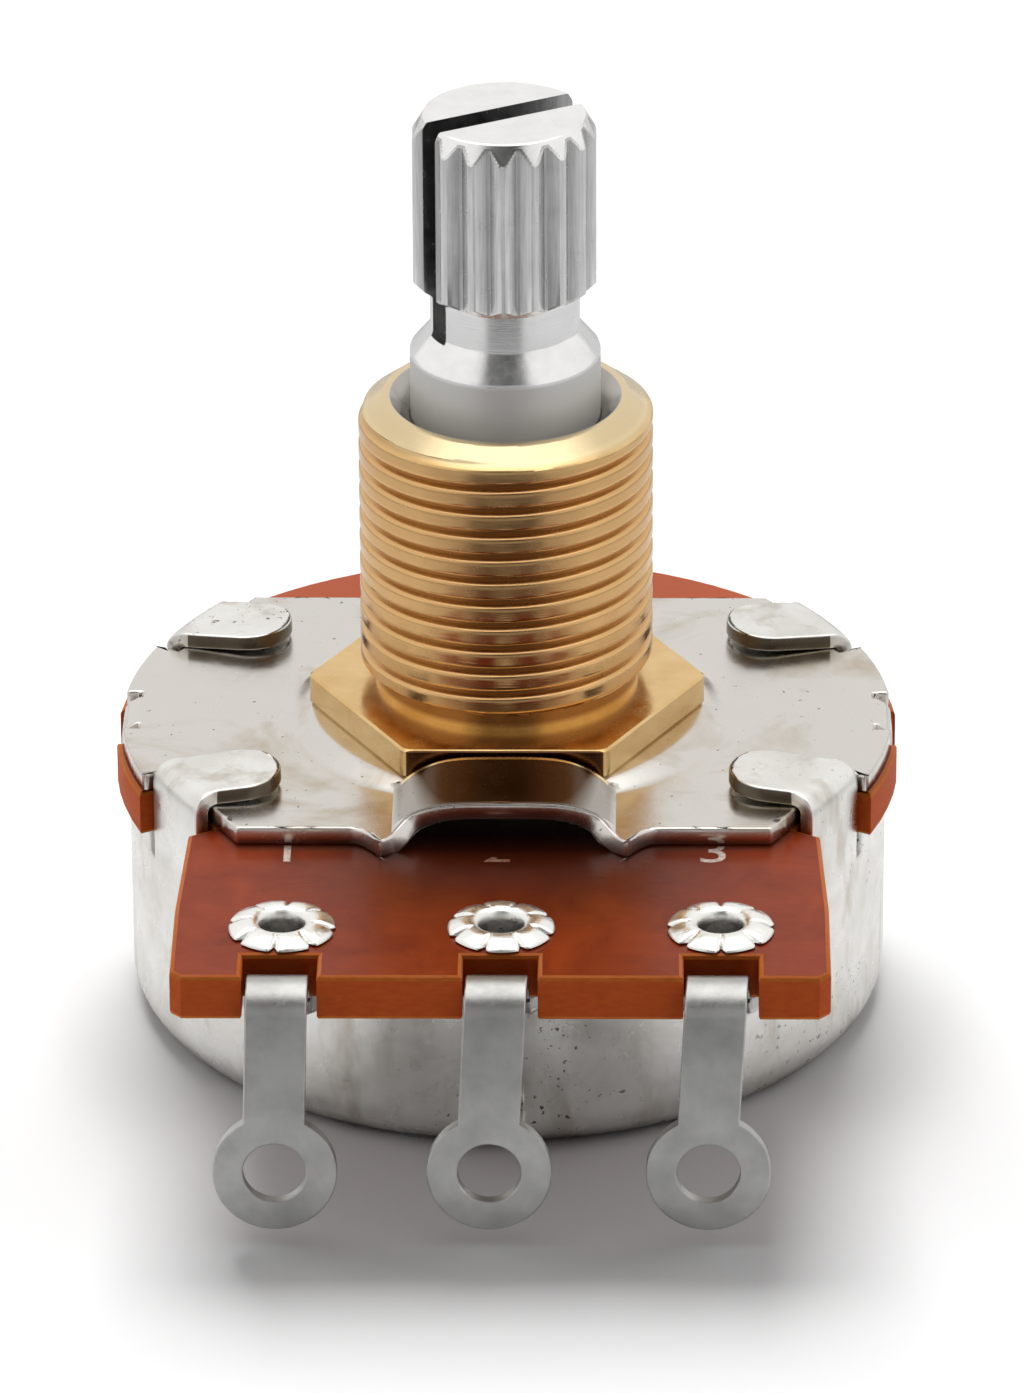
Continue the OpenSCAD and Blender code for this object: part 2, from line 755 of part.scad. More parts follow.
// Points of the thread's grooves, from the lowest up, shown as rings one pitch apart
function thread_points(z_low, z_high) =
    let (count = floor((z_high - z_low - thread_groove_w) / thread_pitch + 0.25))
    [for (k = [count - 1 : -1 : 0], p = [[0, -0.5], [thread_depth, 0], [0, 0.5]])
        [thread_r - p[0], z_high - (k + 0.75) * thread_pitch + p[1] * thread_groove_w]];

// Half section of the bushing, from the rolled lip to the mouth
module bushing_section() {
    relief_r = thread_r - relief_depth;
    sink_r = bore_r + mouth_sink;
    z_thread = z_flange + relief_l + relief_depth / 2;
    z_bevel = z_mouth - mouth_bevel;
    polygon(concat([[bore_r, z_tail], [lip_r, z_tail], [lip_r, z_seat - plate_t],
        [tail_r, z_seat - plate_t], [tail_r, z_seat], [relief_r, z_seat],
        [relief_r, z_thread - relief_depth], [thread_r, z_thread]],
        thread_points(z_thread, z_bevel),
        [[thread_r, z_bevel], [sink_r + mouth_rim, z_mouth],
        [sink_r, z_mouth], [bore_r, z_mouth - mouth_sink]]));
}

module bushing() {
    color("goldenrod") difference() {
        union() {
            rotate_extrude() bushing_section();
            translate([0, 0, z_seat]) cylinder(r = boss_top_r, h = hex_t, $fn = 6);
        }
        translate([0, 0, z_seat - 1]) cylinder(r = bore_r, h = hex_t + 2);
    }
}

/* What turns */

// Cross section of the spline, with one tooth facing the front
module spline_section() {
    pitch = 360 / teeth;
    half = pitch * tip_share / 2;
    tooth = [[-half, spline_r], [half, spline_r], [pitch / 2, spline_r - spline_depth]];
    polygon([for (k = [0 : teeth - 1], p = tooth)
        let (a = 270 + k * pitch + p[0]) p[1] * [cos(a), sin(a)]]);
}

// Envelope of the splined head, bevelled at both ends
module head_section() {
    polygon([[0, z_neck_top - eps], [neck_r, z_neck_top - eps], [neck_r, z_neck_top],
        [spline_r, z_neck_top + under_bevel], [spline_r, z_shaft_end - end_bevel],
        [spline_r - end_bevel_w, z_shaft_end], [0, z_shaft_end]]);
}

// Envelope of everything below the head: neck, cone, journal, groove and shoulder
module stem_section() {
    polygon([[0, z_rotor], [shaft_r, z_rotor], [shaft_r, z_clip - slip], [groove_r, z_clip - slip],
        [groove_r, z_clip + clip_t + slip], [shaft_r, z_clip + clip_t + slip], [shaft_r, z_collar],
        [neck_r, z_neck_low], [neck_r, z_neck_top], [0, z_neck_top]]);
}

module shaft() {
    color("silver") difference() {
        union() {
            intersection() {
                translate([0, 0, z_neck_top - 1]) linear_extrude(spline_l + 2) spline_section();
                rotate_extrude() head_section();
            }
            rotate_extrude() stem_section();
            translate([0, 0, z_stop - eps]) linear_extrude(z_rotor - z_stop + 2 * eps) double_d(0);
            translate([0, 0, z_rivet])
                cylinder(r1 = spigot_r + rivet_over - rivet_t / 2, r2 = spigot_r + rivet_over, h = rivet_t);
        }
        translate([0, 0, z_shaft_end - slot_depth / 2 + 1]) rotate(slot_angle)
            cube([far, slot_w, slot_depth + 2], center = true);
    }
}

module retaining_ring() {
    color("darkgray") translate([0, 0, z_clip]) difference() {
        flat_ring(shaft_r + clip_over, groove_r + slip, clip_t);
        translate([clip_lip - groove_r, 0, -1]) cube([2 * (groove_r - clip_lip), far, clip_t + 2]);
    }
}

module friction_washer() {
    color("peru") translate([0, 0, z_washer])
        flat_ring(shaft_r + washer_over, shaft_r + slip, washer_t);
}

// Rib of the rotor that narrows toward the rim
module rotor_rib() {
    z_web = z_rotor - rotor_web;
    inner = hub_r - hub_wall / 2;
    outer = rotor_r - rib_rise;
    rotate([90, 0, 0]) linear_extrude(rib_t, center = true)
        polygon([[inner, z_hub + rib_rise], [hub_r, z_hub + rib_rise], [outer, z_web],
            [outer, z_web + rotor_web / 2], [inner, z_web + rotor_web / 2]]);
}

module rotor() {
    color([0.16, 0.14, 0.13]) difference() {
        union() {
            translate([0, 0, z_rotor - rotor_web]) cylinder(r = rotor_r, h = rotor_web);
            translate([0, 0, z_hub]) cylinder(r = hub_r, h = z_rotor - z_hub - eps);
            for (k = [0 : ribs - 1]) rotate(k * 360 / ribs) rotor_rib();
            for (s = [-1, 1]) translate([s * pip_r, 0, z_rotor - eps])
                cylinder(d = pip_d, h = 2 * contact_t + eps);
        }
        translate([0, 0, z_hub - 1]) linear_extrude(z_rotor - z_hub + 2) double_d(slip);
    }
}

// Sprung finger that climbs from the flat ring to the radius where it rubs
module finger(rub_r) {
    start_r = contact_out_r - finger_root;
    z_low = z_rotor + contact_t / 2;
    z_tip = z_film - run_gap - finger_tip_r;
    slope = atan2(z_tip - z_low, rub_r - start_r);
    length = norm([rub_r - start_r, z_tip - z_low]);
    translate([-finger_w / 2, start_r, z_low]) rotate([slope, 0, 0])
        translate([0, 0, -contact_t / 2]) cube([finger_w, length, contact_t]);
    translate([0, rub_r, z_tip]) rotate([0, 90, 0])
        cylinder(r = finger_tip_r, h = finger_w, center = true);
}

module wiper_contact() {
    step = finger_w + finger_gap;
    color("burlywood") {
        difference() {
            translate([0, 0, z_rotor]) flat_ring(contact_out_r, contact_in_r, contact_t);
            for (s = [-1, 1]) translate([s * pip_r, 0, z_rotor - 1])
                cylinder(d = pip_d + 2 * slip, h = contact_t + 2);
        }
        for (i = [-1 : 1]) translate([i * step, 0, 0]) finger((track_in_r + track_out_r) / 2);
        for (i = [-0.5, 0.5]) translate([i * step, 0, 0]) mirror([0, 1, 0])
            finger((collector_in_r + collector_out_r) / 2);
    }
}

// Steel plate with a wide arm; the sides of the arm meet the stop in the can
module stop_plate() {
    stop_half_w = stop_groove_w / 2 + can_wall;
    arm_r = can_in_r - 2 * notch_gap;
    arm_angle = 180 - half_travel_angle - asin(stop_half_w / stop_face_r) - stop_gap_angle;
    color("slategray") translate([0, 0, z_hub - stop_t]) linear_extrude(stop_t) difference() {
        union() {
            circle(r = hub_r + stop_over);
            intersection() {
                circle(r = arm_r);
                sector(far, arm_angle);
            }
        }
        double_d(slip);
    }
}

rear_can();
wafer();
carbon_track();
left_silver_pad();
right_silver_pad();
collector_ring();
left_eyelet();
middle_eyelet();
right_eyelet();
left_lug();
middle_lug();
right_lug();
front_plate();
bushing();
shaft();
retaining_ring();
friction_washer();
rotor();
wiper_contact();
stop_plate();
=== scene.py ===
# %% [markdown]
# # A rotary potentiometer, dressed for the camera
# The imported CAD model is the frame: it fixes every size and place. This notebook adds what a
# CAD model leaves out, such as the real thread, the rounded edges of bent sheet, the crimped
# petals of the eyelets and the finish of each metal.
# The model is in metres and a potentiometer is small, so pieces are drawn here in millimetres
# and shrunk once, when they are finished.

# %% Load the frame and keep its box
import math

import bmesh
import bpy
from mathutils import Matrix, Vector


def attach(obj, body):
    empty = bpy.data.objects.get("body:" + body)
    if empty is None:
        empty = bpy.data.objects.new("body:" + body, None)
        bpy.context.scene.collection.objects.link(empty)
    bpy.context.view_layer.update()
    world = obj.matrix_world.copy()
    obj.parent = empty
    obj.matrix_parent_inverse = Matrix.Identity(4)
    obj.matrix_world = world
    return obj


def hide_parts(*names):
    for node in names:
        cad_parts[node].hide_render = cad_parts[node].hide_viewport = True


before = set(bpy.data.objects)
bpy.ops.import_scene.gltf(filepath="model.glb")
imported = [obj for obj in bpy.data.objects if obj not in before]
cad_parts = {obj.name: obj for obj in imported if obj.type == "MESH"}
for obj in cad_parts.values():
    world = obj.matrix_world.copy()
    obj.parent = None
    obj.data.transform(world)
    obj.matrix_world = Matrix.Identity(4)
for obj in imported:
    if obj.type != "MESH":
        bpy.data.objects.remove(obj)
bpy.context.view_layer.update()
scene = bpy.context.scene
MM = 0.001

# %% [markdown]
# ## The camera
# The photographer used a long lens, about 26 degrees above the table and almost in line with
# the solder lugs. A long lens far away keeps the can's two sides nearly parallel. The camera is
# made first, because every later choice is judged through it.

# %% Place the camera
DISTANCE = 320 * MM
AIM = Vector((0.158, 0, 9.976)) * MM
RISE, SWING, ROLL = (math.radians(a) for a in (26.356, 0.859, -0.289))
FOCAL_SHARE = 10015.7 / 1393      # focal length over picture height
SENSOR = 36

back = Vector((math.sin(SWING) * math.cos(RISE), -math.cos(SWING) * math.cos(RISE), math.sin(RISE)))
right = (-back).cross(Vector((0, 0, 1))).normalized()
up = right.cross(-back)
lean = math.cos(ROLL) * right + math.sin(ROLL) * up
rise = math.cos(ROLL) * up - math.sin(ROLL) * right

camera_data = bpy.data.cameras.new("camera")
camera_data.sensor_width = SENSOR
camera_data.lens = FOCAL_SHARE * SENSOR
camera_data.clip_start, camera_data.clip_end = 0.01, 10
camera = bpy.data.objects.new("camera", camera_data)
camera.matrix_world = Matrix((lean, rise, back)).transposed().to_4x4()
camera.location = AIM + DISTANCE * back
scene.collection.objects.link(camera)
scene.camera = camera
scene.view_settings.view_transform = "Standard"
print("lens:", round(camera_data.lens), "mm, camera at", [round(c, 3) for c in camera.location])

# %% [markdown]
# ## Wiring nodes
# The world, the table and every finish are small trees of nodes. In the editor each node is
# dragged in and wired by hand; here a few helpers do the same, so that a recipe reads as a short
# list. A value may be a number, a colour as a tuple, a vector as a list, or another node's output.

# %% Helpers for trees of nodes


def wire(tree, socket, value):
    """Links an output to a socket, or sets a plain number, colour or vector on it."""
    if isinstance(value, bpy.types.NodeSocket):
        tree.links.new(value, socket)
    else:
        socket.default_value = (*value, 1) if isinstance(value, tuple) else value


def add_node(tree, kind, inputs=(), **settings):
    """Adds a node; inputs is a list of (socket, value)."""
    node = tree.nodes.new(kind)
    for name, value in settings.items():
        setattr(node, name, value)
    for socket, value in inputs:
        wire(tree, node.inputs[socket], value)
    return node


def maths(tree, operation, *values):
    """One Math node."""
    return add_node(tree, "ShaderNodeMath", enumerate(values), operation=operation).outputs[0]


def product(tree, first, *others):
    """Several values multiplied together."""
    for other in others:
        first = maths(tree, "MULTIPLY", first, other)
    return first


def share(tree, value, low, high, at_low=0.0, at_high=1.0, soft=True):
    """Runs from one number to another while a value goes from low to high, and holds outside."""
    node = add_node(tree, "ShaderNodeMapRange", [
        ("Value", value), ("From Min", low), ("From Max", high), ("To Min", at_low), ("To Max", at_high)],
        interpolation_type="SMOOTHSTEP" if soft else "LINEAR")
    return node.outputs["Result"]


def ramp(tree, value, *stops):
    """Maps a value through two (position, grey or colour) stops."""
    node = add_node(tree, "ShaderNodeValToRGB", [("Fac", value)])
    for element, (position, shade) in zip(node.color_ramp.elements, stops):
        element.position = position
        element.color = (*shade, 1) if isinstance(shade, tuple) else (shade, shade, shade, 1)
    return node.outputs["Color"]


def blend(tree, amount, below, above, kind="MIX"):
    """Lays one colour over another by an amount."""
    node = add_node(tree, "ShaderNodeMix", [("Factor", amount), ("A", below), ("B", above)],
                    data_type="RGBA", blend_type=kind)
    return node.outputs["Result"]


def parts_of(tree, vector):
    """The X, Y and Z outputs of a vector."""
    return add_node(tree, "ShaderNodeSeparateXYZ", [(0, vector)]).outputs


print("helpers for nodes are ready")

# %% [markdown]
# ## The studio
# Metal is only as good as what it mirrors. The photo has a big soft light above and behind the
# part, which leaves a soft shadow in front, and a darker room behind the photographer, which
# gives the rounded metal its dark bands. The world shows three different skies. The camera sees
# plain white. Rays that come off metal see a bright room, brighter overhead, with a dark wall
# toward the front. All other rays get a soft fill that fades to nearly nothing in front.

# %% Build the world
world = bpy.data.worlds.new("white_studio")
world.use_nodes = True
scene.world = world
sky = world.node_tree
sky.nodes.clear()

looking = parts_of(sky, add_node(sky, "ShaderNodeTexCoord").outputs["Generated"])
front_to_back = share(sky, looking["Y"], -1, 1, soft=False)
fill_colour = ramp(sky, front_to_back, (0.06, (0.05, 0.048, 0.045)), (0.42, (1, 1, 1)))
fill_sky = add_node(sky, "ShaderNodeBackground", [("Color", fill_colour), ("Strength", 0.38)])

ROOM_LEVEL, WALL_WIDTH = 0.95, 0.75
sideways_look = product(sky, maths(sky, "ABSOLUTE", looking["X"]), WALL_WIDTH)
toward_front = product(sky, maths(sky, "ADD", looking["Y"], sideways_look), -1)
wall_depth = share(sky, looking["Z"], 0.30, 0.60, 0.47, 0.89)
dark_wall = product(sky, share(sky, toward_front, 0.30, 0.52), wall_depth)
overhead = share(sky, looking["Z"], 0.74, 0.95)
room = maths(sky, "ADD", maths(sky, "SUBTRACT", ROOM_LEVEL, dark_wall), overhead)
mirror_sky = add_node(sky, "ShaderNodeBackground", [("Color", (1.0, 0.99, 0.975)), ("Strength", room)])

rays = add_node(sky, "ShaderNodeLightPath").outputs
off_metal = maths(sky, "MAXIMUM", rays["Is Glossy Ray"], rays["Is Transmission Ray"])
before_cloth = maths(sky, "SUBTRACT", 1.0, maths(sky, "MINIMUM", rays["Diffuse Depth"], 1.0))
sky_by_ray = add_node(sky, "ShaderNodeMixShader", [
    (0, product(sky, off_metal, before_cloth)), (1, fill_sky.outputs[0]), (2, mirror_sky.outputs[0])])
seen_sky = add_node(sky, "ShaderNodeBackground", [("Color", (1, 1, 1))])
whole_sky = add_node(sky, "ShaderNodeMixShader", [
    (0, rays["Is Camera Ray"]), (1, sky_by_ray.outputs[0]), (2, seen_sky.outputs[0])])
add_node(sky, "ShaderNodeOutputWorld", [("Surface", whole_sky.outputs[0])])
print("world nodes:", len(sky.nodes))

# %% [markdown]
# The lamps are large area lights, because a small lamp would put hard points on the metal. Metal
# doesn't mirror them, since the bright part of the room already stands for them.

# %% Place the lamps
LIT_POINT = Vector((0, 0, 12)) * MM


def soft_lamp(name, place, size, watts):
    """A square area light, at a place in millimetres, that faces the middle of the part."""
    data = bpy.data.lights.new(name, "AREA")
    data.size = size * MM
    data.energy = watts
    lamp = bpy.data.objects.new(name, data)
    lamp.location = Vector(place) * MM
    lamp.rotation_euler = (LIT_POINT - lamp.location).to_track_quat("-Z", "Y").to_euler()
    lamp.visible_glossy = False
    scene.collection.objects.link(lamp)


soft_lamp("back_light", (-40, 480, 755), 500, 7.9)
soft_lamp("left_light", (-810, 160, 450), 560, 1.2)
soft_lamp("right_light", (780, 200, 480), 520, 1.1)

# %% [markdown]
# ## The table
# The table is one large pale plane. Metal mirrors it a little darker than it is seen, as a table
# that runs out into the room: it falls off with distance, and in front of the lugs there is a
# darker strip, which gives the brass and the can the brown and grey bands of the photo.

# %% Make the table
TABLE_HALF = 3
table_finish = bpy.data.materials.new("table_finish")
table_finish.use_nodes = True
cloth = table_finish.node_tree
table_shader = cloth.nodes["Principled BSDF"]
table_shader.inputs["Roughness"].default_value = 0.9
table_shader.inputs["Specular IOR Level"].default_value = 0.1

spot = add_node(cloth, "ShaderNodeTexCoord").outputs["Object"]
spot_parts = parts_of(cloth, spot)
reach = add_node(cloth, "ShaderNodeVectorMath", [(0, spot)], operation="LENGTH").outputs["Value"]
fall = share(cloth, reach, 20 * MM, 62 * MM, 0.83, 0.50, soft=False)
aside = product(cloth, maths(cloth, "ABSOLUTE", spot_parts["X"]), 0.9)
forward = maths(cloth, "SUBTRACT", product(cloth, spot_parts["Y"], -1), aside)
in_front = share(cloth, maths(cloth, "DIVIDE", forward, reach), 0.35, 0.60)
strip_begins = share(cloth, reach, 28 * MM, 36 * MM, 0.0, 0.85, soft=False)
strip_ends = share(cloth, reach, 46 * MM, 58 * MM, 1.0, 0.10, soft=False)
dark_strip = product(cloth, in_front, strip_begins, strip_ends)
mirror_level = product(cloth, fall, maths(cloth, "SUBTRACT", 1.0, dark_strip))
off_metal = add_node(cloth, "ShaderNodeLightPath").outputs["Is Glossy Ray"]
wire(cloth, table_shader.inputs["Base Color"], blend(cloth, off_metal, (0.93, 0.93, 0.93), mirror_level))

table_bm = bmesh.new()
bmesh.ops.create_grid(table_bm, x_segments=1, y_segments=1, size=TABLE_HALF)
table_mesh = bpy.data.meshes.new("table")
table_bm.to_mesh(table_mesh)
table_bm.free()
table_mesh.materials.append(table_finish)
table = bpy.data.objects.new("table", table_mesh)
scene.collection.objects.link(table)
print("table is", 2 * TABLE_HALF, "m wide")

# %% [markdown]
# ## How a finish is built
# Every finish starts from the Principled shader. The pattern nodes read Object coordinates
# turned into millimetres, so a grain of 0.2 means 0.2 mm on the part. This small class keeps
# each recipe down to a few lines.

# %% The finish helper


class Finish:
    """One material: a Principled shader with procedural patterns in millimetres."""

    def __init__(self, name, colour, metallic, roughness, specular=0.5):
        self.material = bpy.data.materials.new(name)
        self.material.use_nodes = True
        self.tree = self.material.node_tree
        self.shader = self.tree.nodes["Principled BSDF"]
        for socket, value in (("Base Color", colour), ("Metallic", metallic),
                              ("Roughness", roughness), ("Specular IOR Level", specular)):
            wire(self.tree, self.shader.inputs[socket], value)
        metres = add_node(self.tree, "ShaderNodeTexCoord").outputs["Object"]
        self.place = self.stretch((1 / MM, 1 / MM, 1 / MM), metres)

    def stretch(self, factors, vector=None):
        """The place in millimetres, scaled along each axis."""
        return add_node(self.tree, "ShaderNodeMapping", [
            ("Vector", vector or self.place), ("Scale", list(factors))]).outputs["Vector"]

    def noise(self, grain, detail=3, rough=0.55, vector=None, twist=0.0):
        """Noise whose blobs are about that many millimetres wide."""
        return add_node(self.tree, "ShaderNodeTexNoise", [
            ("Vector", vector or self.place), ("Scale", 1 / grain), ("Detail", detail),
            ("Roughness", rough), ("Distortion", twist)]).outputs["Fac"]

    def ramp(self, value, *stops):
        return ramp(self.tree, value, *stops)

    def blend(self, amount, below, above, kind="MIX"):
        return blend(self.tree, amount, below, above, kind)

    def times(self, *values):
        return product(self.tree, *values)

    def share(self, value, low, high, at_low=0.0, at_high=1.0):
        """Runs evenly from one number to another while a value goes from low to high."""
        return share(self.tree, value, low, high, at_low, at_high, soft=False)

    def above(self, value, limit):
        return maths(self.tree, "GREATER_THAN", value, limit)

    def below(self, value, limit):
        return maths(self.tree, "LESS_THAN", value, limit)

    def part(self, axis):
        """One coordinate in millimetres."""
        return parts_of(self.tree, self.place)[axis]

    def off_middle(self):
        """Distance to the left or right of the middle, in millimetres."""
        return maths(self.tree, "ABSOLUTE", self.part("X"))

    def from_axis(self):
        """Distance from the shaft's axis in millimetres."""
        flat = self.stretch((1, 1, 0))
        return add_node(self.tree, "ShaderNodeVectorMath", [(0, flat)], operation="LENGTH").outputs["Value"]

    def facing(self, axis):
        """How much a surface faces along one axis, from 0 to 1."""
        normal = add_node(self.tree, "ShaderNodeNewGeometry").outputs["Normal"]
        return maths(self.tree, "ABSOLUTE", parts_of(self.tree, normal)[axis])

    def paint(self, colour):
        wire(self.tree, self.shader.inputs["Base Color"], colour)

    def polish(self, roughness):
        wire(self.tree, self.shader.inputs["Roughness"], roughness)

    def dent(self, height, depth):
        """Bumps the surface; depth in millimetres."""
        node = add_node(self.tree, "ShaderNodeBump", [
            ("Height", height), ("Strength", 1.0), ("Distance", depth * MM)])
        wire(self.tree, self.shader.inputs["Normal"], node.outputs["Normal"])


print("finishes can be mixed")

# %% [markdown]
# ## Finish: tinned can
# Tin plate on a drawn can is satin and slightly warm, with cloudy handling marks, faint brown
# stains and tiny dark specks where the plating is thin. The wall is painted darker toward its
# foot, where it meets the table, and the cut edges of the tabs are painted dark, for bare steel
# and for painted shade at the tab's edge.

# %% Tin on the can
TABS_ABOVE, TABS_WITHIN = 9.3, 11.3
tin = Finish("tinned_can", (0.79, 0.78, 0.75), 1.0, 0.3)
clouds = tin.noise(2.6, 4, 0.6, twist=0.4)
colour = tin.blend(tin.ramp(clouds, (0.38, 0.0), (0.66, 1.0)), (0.87, 0.865, 0.835), (0.73, 0.71, 0.67))
streaks = tin.noise(1.3, 3, 0.6, tin.stretch((1, 1, 0.35)))
colour = tin.blend(tin.ramp(streaks, (0.54, 0.0), (0.74, 0.75)), colour, (0.50, 0.44, 0.35))
specks = tin.ramp(tin.noise(0.22, 2, 0.5), (0.66, 0.0), (0.70, 1.0))
speck_zone = tin.ramp(tin.noise(3.4, 2, 0.5), (0.5, 0.0), (0.62, 1.0))
colour = tin.blend(tin.times(specks, speck_zone), colour, (0.16, 0.14, 0.12))
# The wall is painted darker toward its foot, where it meets the table.
darker_toward_foot = tin.times(tin.share(tin.part("Z"), 0.10, 0.75, 1.0, 0.0), tin.ramp(clouds, (0.35, 0.35), (0.6, 0.9)))
colour = tin.blend(darker_toward_foot, colour, (0.22, 0.18, 0.13))
on_tab = tin.times(tin.above(tin.part("Z"), TABS_ABOVE), tin.below(tin.from_axis(), TABS_WITHIN))
# The tabs' cut edges are painted near black: bare steel, plus painted shade at the tab's edge.
cut_steel_and_shade = tin.times(on_tab, tin.ramp(tin.facing("Z"), (0.35, 1.0), (0.7, 0.0)))
tin.paint(tin.blend(cut_steel_and_shade, colour, (0.15, 0.125, 0.095)))
tin.polish(tin.ramp(tin.noise(0.9, 5, 0.65), (0.3, 0.22), (0.7, 0.40)))
tin.dent(tin.noise(0.35, 4, 0.6), 0.006)
print("made", tin.material.name)

# %% [markdown]
# ## Finish: phenolic wafer
# Paper phenolic is a translucent red brown. In front of the arch of the plate its top is painted
# dark, as painted shade, and at the back it is painted brighter, as a painted glow of light through
# it. Where the punch sheared it, along the edges and round the notches, the paper fibres show as
# a paler, rougher orange band, and the up-tilted bevels get a painted highlight on top of that. How
# much a face looks up tells the sheared edge from the smooth top.

# %% Phenolic sheet
PLATE_Y = 8.3                      # half the depth of the front plate
phenolic = Finish("phenolic", (0.26, 0.040, 0.008), 0.0, 0.36, specular=0.13)
flow = phenolic.noise(2.0, 4, 0.6, twist=0.6)
top_colour = phenolic.blend(phenolic.ramp(flow, (0.3, 0.0), (0.7, 1.0)),
                            (0.175, 0.021, 0.004), (0.265, 0.038, 0.007))
# Painted shade on the wafer in front of the arch, darkest in the middle.
painted_shade_ahead_of_arch = phenolic.share(phenolic.part("Y"), -PLATE_Y - 5.94, -PLATE_Y - 0.31)
painted_shade_across_middle = phenolic.share(phenolic.off_middle(), 2.5, 8.5, 0.95, 0.0)
top_colour = phenolic.blend(phenolic.times(painted_shade_ahead_of_arch, painted_shade_across_middle), top_colour, (0.045, 0.008, 0.003))
# Painted glow along the back of the wafer, standing for light shining through it.
painted_back_glow = phenolic.share(phenolic.part("Y"), 8.0, 8.6, 0.0, 0.6)
top_colour = phenolic.blend(painted_back_glow, top_colour, (0.52, 0.10, 0.03))

fibre = phenolic.noise(0.16, 3, 0.6, phenolic.stretch((0.35, 1, 1)))
facing_up = phenolic.facing("Z")
# Cut edges show pale fibre. The up-tilted bevels are brighter still, as a painted highlight.
sheared = phenolic.blend(fibre, (0.36, 0.045, 0.005), (0.56, 0.10, 0.010))
bevel_fibre_and_highlight = phenolic.blend(fibre, (0.41, 0.078, 0.008), (0.60, 0.18, 0.026))
edge_colour = phenolic.blend(phenolic.ramp(facing_up, (0.12, 0.0), (0.35, 1.0)), sheared, bevel_fibre_and_highlight)
phenolic.paint(phenolic.blend(phenolic.ramp(facing_up, (0.90, 1.0), (0.985, 0.0)), top_colour, edge_colour))
phenolic.polish(phenolic.ramp(facing_up, (0.6, 0.62), (0.98, 0.24)))
phenolic.dent(fibre, 0.008)
print("made", phenolic.material.name)

# %% [markdown]
# ## Finish: tinned lugs and eyelets
# The eyelets are bright tin, freshly crimped, with painted shade on their steep walls and in their
# bores. The lugs are duller: a tumbled, slightly grey tin with a fine frost, which scatters the light of the room.

# %% Bright and dull tin
bright_tin = Finish("bright_tin", (0.90, 0.90, 0.88), 1.0, 0.16)
# Steep faces and bores are painted grey, as painted shade. Faces that look up stay bright.
bright_tin.paint(bright_tin.ramp(bright_tin.facing("Z"), (0.22, (0.60, 0.59, 0.57)), (0.6, (0.94, 0.94, 0.91))))
bright_tin.polish(bright_tin.ramp(bright_tin.noise(0.3, 4, 0.6), (0.3, 0.24), (0.7, 0.40)))
bright_tin.dent(bright_tin.noise(0.25, 3, 0.6), 0.02)

dull_tin = Finish("dull_tin", (0.66, 0.66, 0.65), 1.0, 0.4)
frost = dull_tin.noise(0.12, 4, 0.7)
handled = dull_tin.ramp(dull_tin.noise(1.4, 3, 0.6), (0.35, 0.0), (0.7, 1.0))
dull_tin.paint(dull_tin.blend(handled, (0.54, 0.54, 0.525), (0.41, 0.41, 0.395)))
dull_tin.polish(dull_tin.ramp(frost, (0.3, 0.30), (0.7, 0.46)))
dull_tin.dent(frost, 0.004)
print("made", bright_tin.material.name, "and", dull_tin.material.name)

# %% [markdown]
# ## Finish: nickel-plated plate
# The plate is rolled steel under thin nickel: a nearly clear mirror with a warm tarnish in
# patches and a few dark specks. The lanced arch is painted dark brown on its crown and grey on
# its flanks, as painted dark reflection. Its back edge carries a painted warm highlight.

# %% Nickel on the front plate
ARCH_BACK = -5.6
nickel = Finish("nickel_plate", (0.68, 0.655, 0.61), 1.0, 0.16)
tarnish = nickel.ramp(nickel.noise(4.5, 4, 0.6, twist=0.8), (0.5, 0.0), (0.72, 1.0))
colour = nickel.blend(tarnish, (0.70, 0.675, 0.635), (0.50, 0.42, 0.32))
dots = nickel.ramp(nickel.noise(0.2, 1, 0.4), (0.765, 0.0), (0.79, 0.8))
colour = nickel.blend(dots, colour, (0.10, 0.09, 0.08))

depth, height = nickel.part("Y"), nickel.part("Z")
on_arch = nickel.times(nickel.below(nickel.off_middle(), 3.6), nickel.above(depth, 0.1 - PLATE_Y),
                       nickel.below(depth, ARCH_BACK + 0.1))
# Painted dark reflection: the arch's flanks are grey and its crown dark brown.
painted_flank_reflection = nickel.times(on_arch, nickel.share(height, 9.52, 9.72, 0.0, 0.62))
colour = nickel.blend(painted_flank_reflection, colour, (0.22, 0.19, 0.16))
painted_crown_reflection = nickel.times(on_arch, nickel.share(height, 10.05, 10.30))
colour = nickel.blend(painted_crown_reflection, colour, (0.10, 0.055, 0.03))
# Painted warm highlight along the back edge of the arch.
painted_back_rim_highlight = nickel.times(on_arch, nickel.above(depth, ARCH_BACK - 0.34), nickel.above(height, 9.8))
nickel.paint(nickel.blend(painted_back_rim_highlight, colour, (0.95, 0.74, 0.40)))
nickel.polish(nickel.ramp(nickel.noise(1.1, 5, 0.65), (0.3, 0.17), (0.72, 0.32)))
nickel.dent(nickel.noise(0.5, 4, 0.6), 0.002)
print("made", nickel.material.name)

# %% [markdown]
# ## Finish: turned brass
# Brass shows the lathe: fine rings round the axis, brighter on crests, and brown tarnish deep
# in the thread. Distance from the axis tells the crests from the grooves. The front of the thread
# is painted dark, as painted dark reflection. The bevel at the mouth is paler, as clean brass with a
# painted highlight, the countersink inside it is grey, from dirt and painted shade, and the side of
# the flange behind the arch is painted nearly black, as painted shade and dark reflection.

